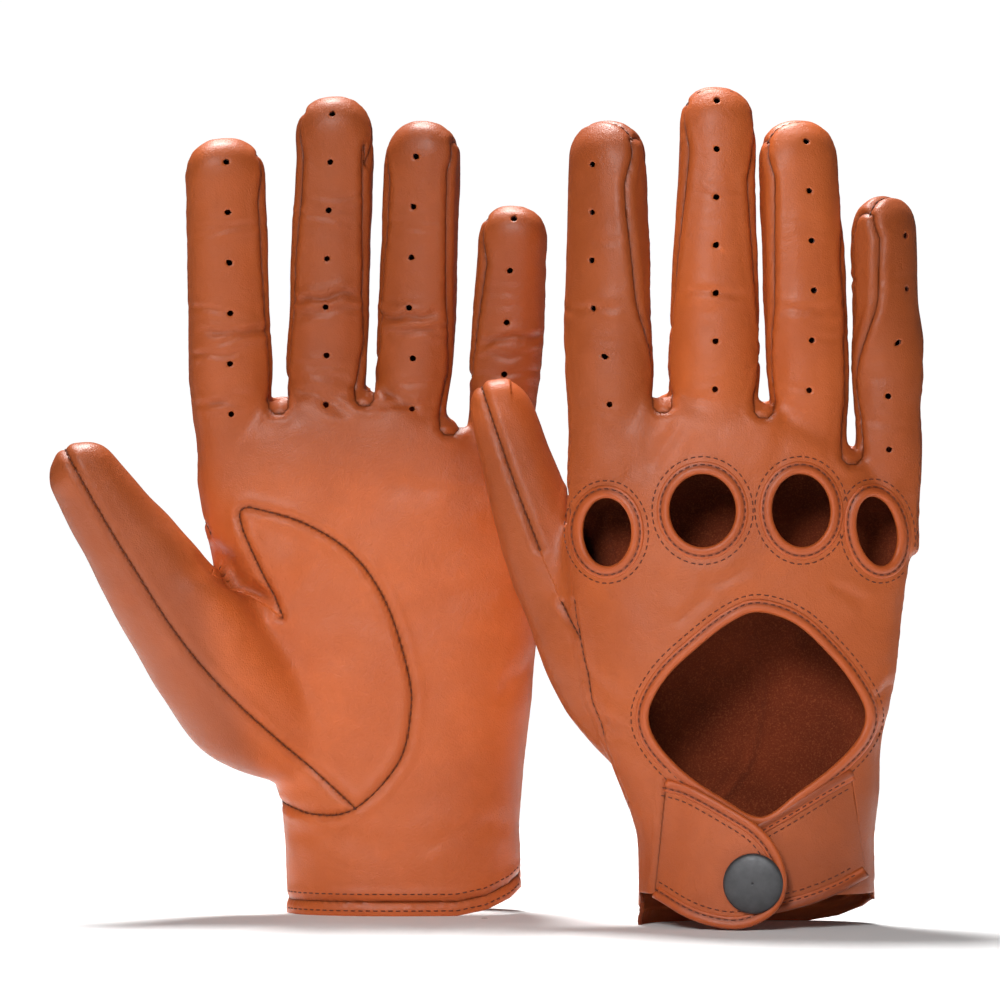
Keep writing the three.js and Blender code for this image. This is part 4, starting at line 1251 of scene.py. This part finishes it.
def leather(name, colour, deep, roughness):
    """Smooth-grained leather, darker in its seams, lighter on its ridges from wear and a painted highlight,
    with painted shade in its hollows and where the shade attribute marks it.
    """
    material, tree, bsdf = shader(name)
    seam = node(tree, "Attribute", {"attribute_name": "seam"}).outputs["Fac"]
    edge = node(tree, "NewGeometry").outputs["Pointiness"]
    tone = mixed(tree, colour, deep, ramp(tree, noise_of(tree, 26, 5, 0.6), 0.38, 0.72, 0, 0.5))
    light_patches = ramp(tree, noise_of(tree, 70, 4, 0.6), 0.5, 0.75, 0, 0.3)
    tone = mixed(tree, tone, tinted(colour, 1.35), light_patches)
    # Convex ridges, found by pointiness, are made lighter: partly wear, partly a painted highlight.
    wear_and_highlight = ramp(tree, edge, 0.52, 0.6, 0, 0.35)
    tone = mixed(tree, tone, tinted(colour, 1.5), wear_and_highlight)
    # Painted shade in the hollows: concave places, found by pointiness, are made darker.
    hollow = ramp(tree, edge, 0.49, 0.42, 0, 0.6)
    tone = mixed(tree, tone, tinted(deep, 0.45), hollow)
    tone = mixed(tree, tone, tinted(deep, 0.3), product(tree, seam, 0.85))
    # Painted shade: the shade attribute darkens the leather towards the fingertips, the thumb and the outer
    # wrist.
    shade = node(tree, "Attribute", {"attribute_name": "shade"}).outputs["Fac"]
    tone = mixed(tree, tone, tinted(deep, 0.12), shade)
    tree.links.new(tone, bsdf.inputs["Base Color"])
    shine = ramp(tree, noise_of(tree, 120, 3), 0.3, 0.7, roughness - 0.07, roughness + 0.08)
    tree.links.new(shine, bsdf.inputs["Roughness"])
    bsdf.inputs["Specular IOR Level"].default_value = 0.42
    bsdf.inputs["Coat Weight"].default_value = 0.12
    bsdf.inputs["Coat Roughness"].default_value = 0.35
    bsdf.inputs["Subsurface Weight"].default_value = 0.0
    object_place = node(tree, "TexCoord").outputs["Object"]
    cells = node(tree, "TexVoronoi", {"feature": "DISTANCE_TO_EDGE"}, Vector=object_place, Scale=1500.0)
    grain = ramp(tree, cells.outputs["Distance"], 0.0, 0.28)
    fine = noise_of(tree, 2600, 3)
    creases = noise_of(tree, 260, 5, 0.65, distortion=0.9)
    worn = node(tree, "Attribute", {"attribute_name": "worn"}).outputs["Fac"]
    crinkle = product(tree, worn, noise_of(tree, 950, 4, 0.6, distortion=1.2))
    bump = bumped(tree, 0.30, 0.00012, grain)
    bump = bumped(tree, 0.25, 0.0001, fine, Normal=bump)
    bump = bumped(tree, 0.3, 0.0007, creases, Normal=bump)
    bump = bumped(tree, 0.7, 0.0005, crinkle, Normal=bump)
    tree.links.new(bump, bsdf.inputs["Normal"])
    return material


def suede(name, colour, fleck):
    material, tree, bsdf = shader(name)
    spots = ramp(tree, noise_of(tree, 2200, 3, 0.7), 0.5, 0.68)
    clouds = ramp(tree, noise_of(tree, 60, 4), 0.35, 0.7, 0.0, 0.7)
    tone = mixed(tree, colour, tinted(colour, 0.5), clouds)
    tone = mixed(tree, tone, fleck, product(tree, spots, 0.55))
    tree.links.new(tone, bsdf.inputs["Base Color"])
    bsdf.inputs["Roughness"].default_value = 0.93
    bsdf.inputs["Specular IOR Level"].default_value = 0.12
    bsdf.inputs["Sheen Weight"].default_value = 0.12
    nap = bumped(tree, 0.6, 0.0003, noise_of(tree, 1500, 4))
    tree.links.new(nap, bsdf.inputs["Normal"])
    return material


def twisted_thread(name, colour, light):
    material, tree, bsdf = shader(name)
    place = node(tree, "TexCoord").outputs["Object"]
    bands = {"wave_type": "BANDS", "bands_direction": "DIAGONAL"}
    twist = node(tree, "TexWave", bands, Vector=place, Scale=1300.0, Distortion=2.0).outputs["Fac"]
    tree.links.new(mixed(tree, colour, light, product(tree, twist, 0.6)), bsdf.inputs["Base Color"])
    bsdf.inputs["Roughness"].default_value = 0.62
    tree.links.new(bumped(tree, 0.5, 0.0001, twist), bsdf.inputs["Normal"])
    return material


def gunmetal(name, colour, roughness):
    material, tree, bsdf = shader(name)
    tone = mixed(tree, colour, tinted(colour, 0.8), ramp(tree, noise_of(tree, 300, 4), 0.35, 0.7))
    tree.links.new(tone, bsdf.inputs["Base Color"])
    bsdf.inputs["Metallic"].default_value = 0.75
    wear = ramp(tree, noise_of(tree, 900, 5), 0.3, 0.7, roughness - 0.06, roughness + 0.08)
    tree.links.new(wear, bsdf.inputs["Roughness"])
    scratches = bumped(tree, 0.15, 0.00005, noise_of(tree, 3000, 3))
    tree.links.new(scratches, bsdf.inputs["Normal"])
    return material


TAN = (0.60, 0.124, 0.024, 1)
TAN_DEEP = (0.44, 0.078, 0.014, 1)
TRIM = (0.50, 0.096, 0.019, 1)
TRIM_DEEP = (0.34, 0.058, 0.011, 1)
MATERIALS = dict(
    leather=leather("glove_leather", TAN, TAN_DEEP, 0.47),
    binding=leather("binding_leather", TRIM, TRIM_DEEP, 0.44),
    suede=suede("suede_inside", (0.20, 0.034, 0.011, 1), (0.42, 0.10, 0.035, 1)),
    thread=twisted_thread("thread", (0.10, 0.020, 0.008, 1), (0.22, 0.05, 0.018, 1)),
    metal=gunmetal("gunmetal", (0.105, 0.105, 0.11, 1), 0.5),
)


# ---- Snap fasteners ----
TURNED_SIDES = 64


def turned_part(hand, name, profile, body, turn=None):
    """A lathe about +y through the snap, from (radius, height) pairs. A closed profile makes a ring."""
    angle = np.linspace(0, 2 * math.pi, TURNED_SIDES, endpoint=False)
    rings = np.array([[(r * math.cos(a), h, r * math.sin(a)) for r, h in profile] for a in angle])
    points, faces, _ = swept(rings, True)
    points = points + np.array([SNAP_X, wrist_depth(hand, SNAP_X, SNAP_Z), SNAP_Z])
    if turn:
        points = turn(points)
    faces = facing_out(points, triangles(faces, None))
    piece = new_piece(hand, name, points, faces, [MATERIALS["metal"]], body=body)
    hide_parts(hand["name"] + "_" + name)
    return piece


def snap(hand):
    _, axis, angle = strap_lift(hand)
    rise = np.array([0, SNAP_STACK + LEATHER, 0])

    def on_strap(points):
        """The strap's half of the snap stands square on the lifted strap, over the stud."""
        seat = np.array([SNAP_X, wrist_depth(hand, SNAP_X, SNAP_Z), SNAP_Z])
        rel = points - seat
        turned = (rel * math.cos(angle) + np.cross(axis, rel) * math.sin(angle)
                  + axis * (rel @ axis)[:, None] * (1 - math.cos(angle)))
        return seat + rise + turned

    rim = BINDING_PROUD + SNAP_GAP
    turned_part(hand, "snap_cap", [
        (0.01, -0.2), (7.7, -0.2), (8.35, 0.15), (8.45, rim), (8.3, rim + 0.5), (7.7, rim + 0.92),
        (6.6, rim + 1.15), (4.5, rim + 1.38), (2.2, rim + 1.48), (0.6, rim + 1.5), (0.01, rim + 1.5),
    ], "strap", on_strap)
    inner = -LEATHER - SNAP_GAP
    turned_part(hand, "snap_socket", [
        (2.55, inner + 0.3), (2.55, inner - 0.5), (2.75, inner - 1.15), (3.4, inner - 1.2),
        (4.5, inner - 1.15), (5.0, inner - 0.8), (5.2, inner - 0.3), (5.2, inner + 0.3),
    ], "strap", on_strap)
    top = SNAP_GAP + STUD_HEIGHT
    turned_part(hand, "snap_stud", [
        (0.01, 0.1), (3.2, 0.1), (3.2, 0.6), (2.9, 0.72), (1.95, 0.8), (1.75, 1.15),
        (2.0, top - 0.6), (1.9, top - 0.2), (1.5, top), (0.01, top),
    ], "underlap")
    turned_part(hand, "snap_post", [
        (0.01, inner - 0.8), (4.6, inner - 0.8), (5.1, inner - 0.6), (5.2, inner - 0.3),
        (5.1, inner), (1.2, inner + 0.1), (1.2, 0.3), (0.01, 0.3),
    ], "underlap")


for glove in (LEFT, RIGHT):
    build_glove(glove)
    snap(glove)


# ---- Floor, light and camera ----
STAND_RADIUS = 0.42  # of the paper the gloves stand on
ROOM_RADIUS, ROOM_HEIGHT = 7, 8
STAGE_SIDES = 96


def paper():
    """White studio paper."""
    material, tree, bsdf = shader("paper")
    cloud = ramp(tree, noise_of(tree, 3, 3), 0.3, 0.7, 0.97, 1.0)
    tree.links.new(mixed(tree, (0, 0, 0, 1), (0.9, 0.9, 0.9, 1), cloud), bsdf.inputs["Base Color"])
    bsdf.inputs["Roughness"].default_value = 0.9
    bsdf.inputs["Specular IOR Level"].default_value = 0.1
    return material


def lit_wall():
    """The evenly lit white of the room behind."""
    material, tree, bsdf = shader("lit_wall")
    cloud = ramp(tree, noise_of(tree, 2, 2), 0.3, 0.7, 0.98, 1.0)
    tree.links.new(mixed(tree, (0, 0, 0, 1), (1, 1, 1, 1), cloud), bsdf.inputs["Emission Color"])
    bsdf.inputs["Base Color"].default_value = (0, 0, 0, 1)
    bsdf.inputs["Emission Strength"].default_value = 1.03
    return material


def round_sheet(name, rings, material):
    """A stage surface of revolution about the upright axis, from (radius, height) pairs."""
    count = STAGE_SIDES
    turn = np.linspace(0, 2 * math.pi, count, endpoint=False)
    points = [(r * math.cos(a), r * math.sin(a), z) for r, z in rings for a in turn]
    faces = []
    for low in range(0, (len(rings) - 1) * count, count):
        for i in range(count):
            j = (i + 1) % count
            faces.append((low + i, low + j, low + count + j, low + count + i))
    mesh = bpy.data.meshes.new(name)
    mesh.from_pydata(points, [], faces)
    mesh.materials.append(material)
    made = bpy.data.objects.new(name, mesh)
    bpy.context.scene.collection.objects.link(made)
    return made


def floor():
    round_sheet("paper_stand", [(STAND_RADIUS, 0), (0.001, 0)], paper())
    below = -0.0005
    rings = [(STAND_RADIUS - 0.02, below), (ROOM_RADIUS, below), (ROOM_RADIUS, ROOM_HEIGHT)]
    room = round_sheet("room", rings, lit_wall())
    room.visible_diffuse = False
    room.visible_glossy = False


LIT_PLACE = Vector((0, 0, 0.11))  # where every lamp points


def light(name, place, size, power):
    data = bpy.data.lights.new(name, "AREA")
    data.shape = "DISK"
    data.size = size
    data.energy = power
    lamp = bpy.data.objects.new(name, data)
    bpy.context.scene.collection.objects.link(lamp)
    lamp.location = place
    lamp.rotation_euler = (LIT_PLACE - Vector(place)).to_track_quat("-Z", "Y").to_euler()


def studio():
    floor()
    world = bpy.data.worlds.new("studio")
    bpy.context.scene.world = world
    world.use_nodes = True
    world.node_tree.nodes["Background"].inputs["Color"].default_value = (1, 1, 1, 1)
    world.node_tree.nodes["Background"].inputs["Strength"].default_value = 0.09
    light("key", (-0.4, -1.6, 0.95), 0.55, 20)
    light("fill", (1.0, -1.4, 0.5), 0.8, 1.2)
    light("top", (-0.15, 0.5, 1.4), 0.4, 36)


CAMERA_DISTANCE = 4.0
CAMERA_RISE = math.radians(2.2)
VIEW_WIDTH = 0.280  # of what the picture shows at the right glove's distance
VIEW_HEIGHT = 0.1192  # of the middle of the picture above the floor
RIGHT_OF_CENTRE = 0.0719  # from the middle of the view to the middle of the right cuff


def camera():
    data = bpy.data.cameras.new("camera")
    data.sensor_width = 36
    data.lens = data.sensor_width * CAMERA_DISTANCE / VIEW_WIDTH
    data.clip_end = 100
    eye = bpy.data.objects.new("camera", data)
    bpy.context.scene.collection.objects.link(eye)
    offset = Vector((0, -math.cos(CAMERA_RISE), math.sin(CAMERA_RISE))) * CAMERA_DISTANCE
    x, y, _ = place_of(RIGHT) * MM
    eye.location = Vector((x - RIGHT_OF_CENTRE, y, VIEW_HEIGHT)) + offset
    eye.rotation_euler = (-offset).to_track_quat("-Z", "Y").to_euler()
    bpy.context.scene.camera = eye


studio()
camera()
bpy.context.scene.view_settings.view_transform = "Standard"
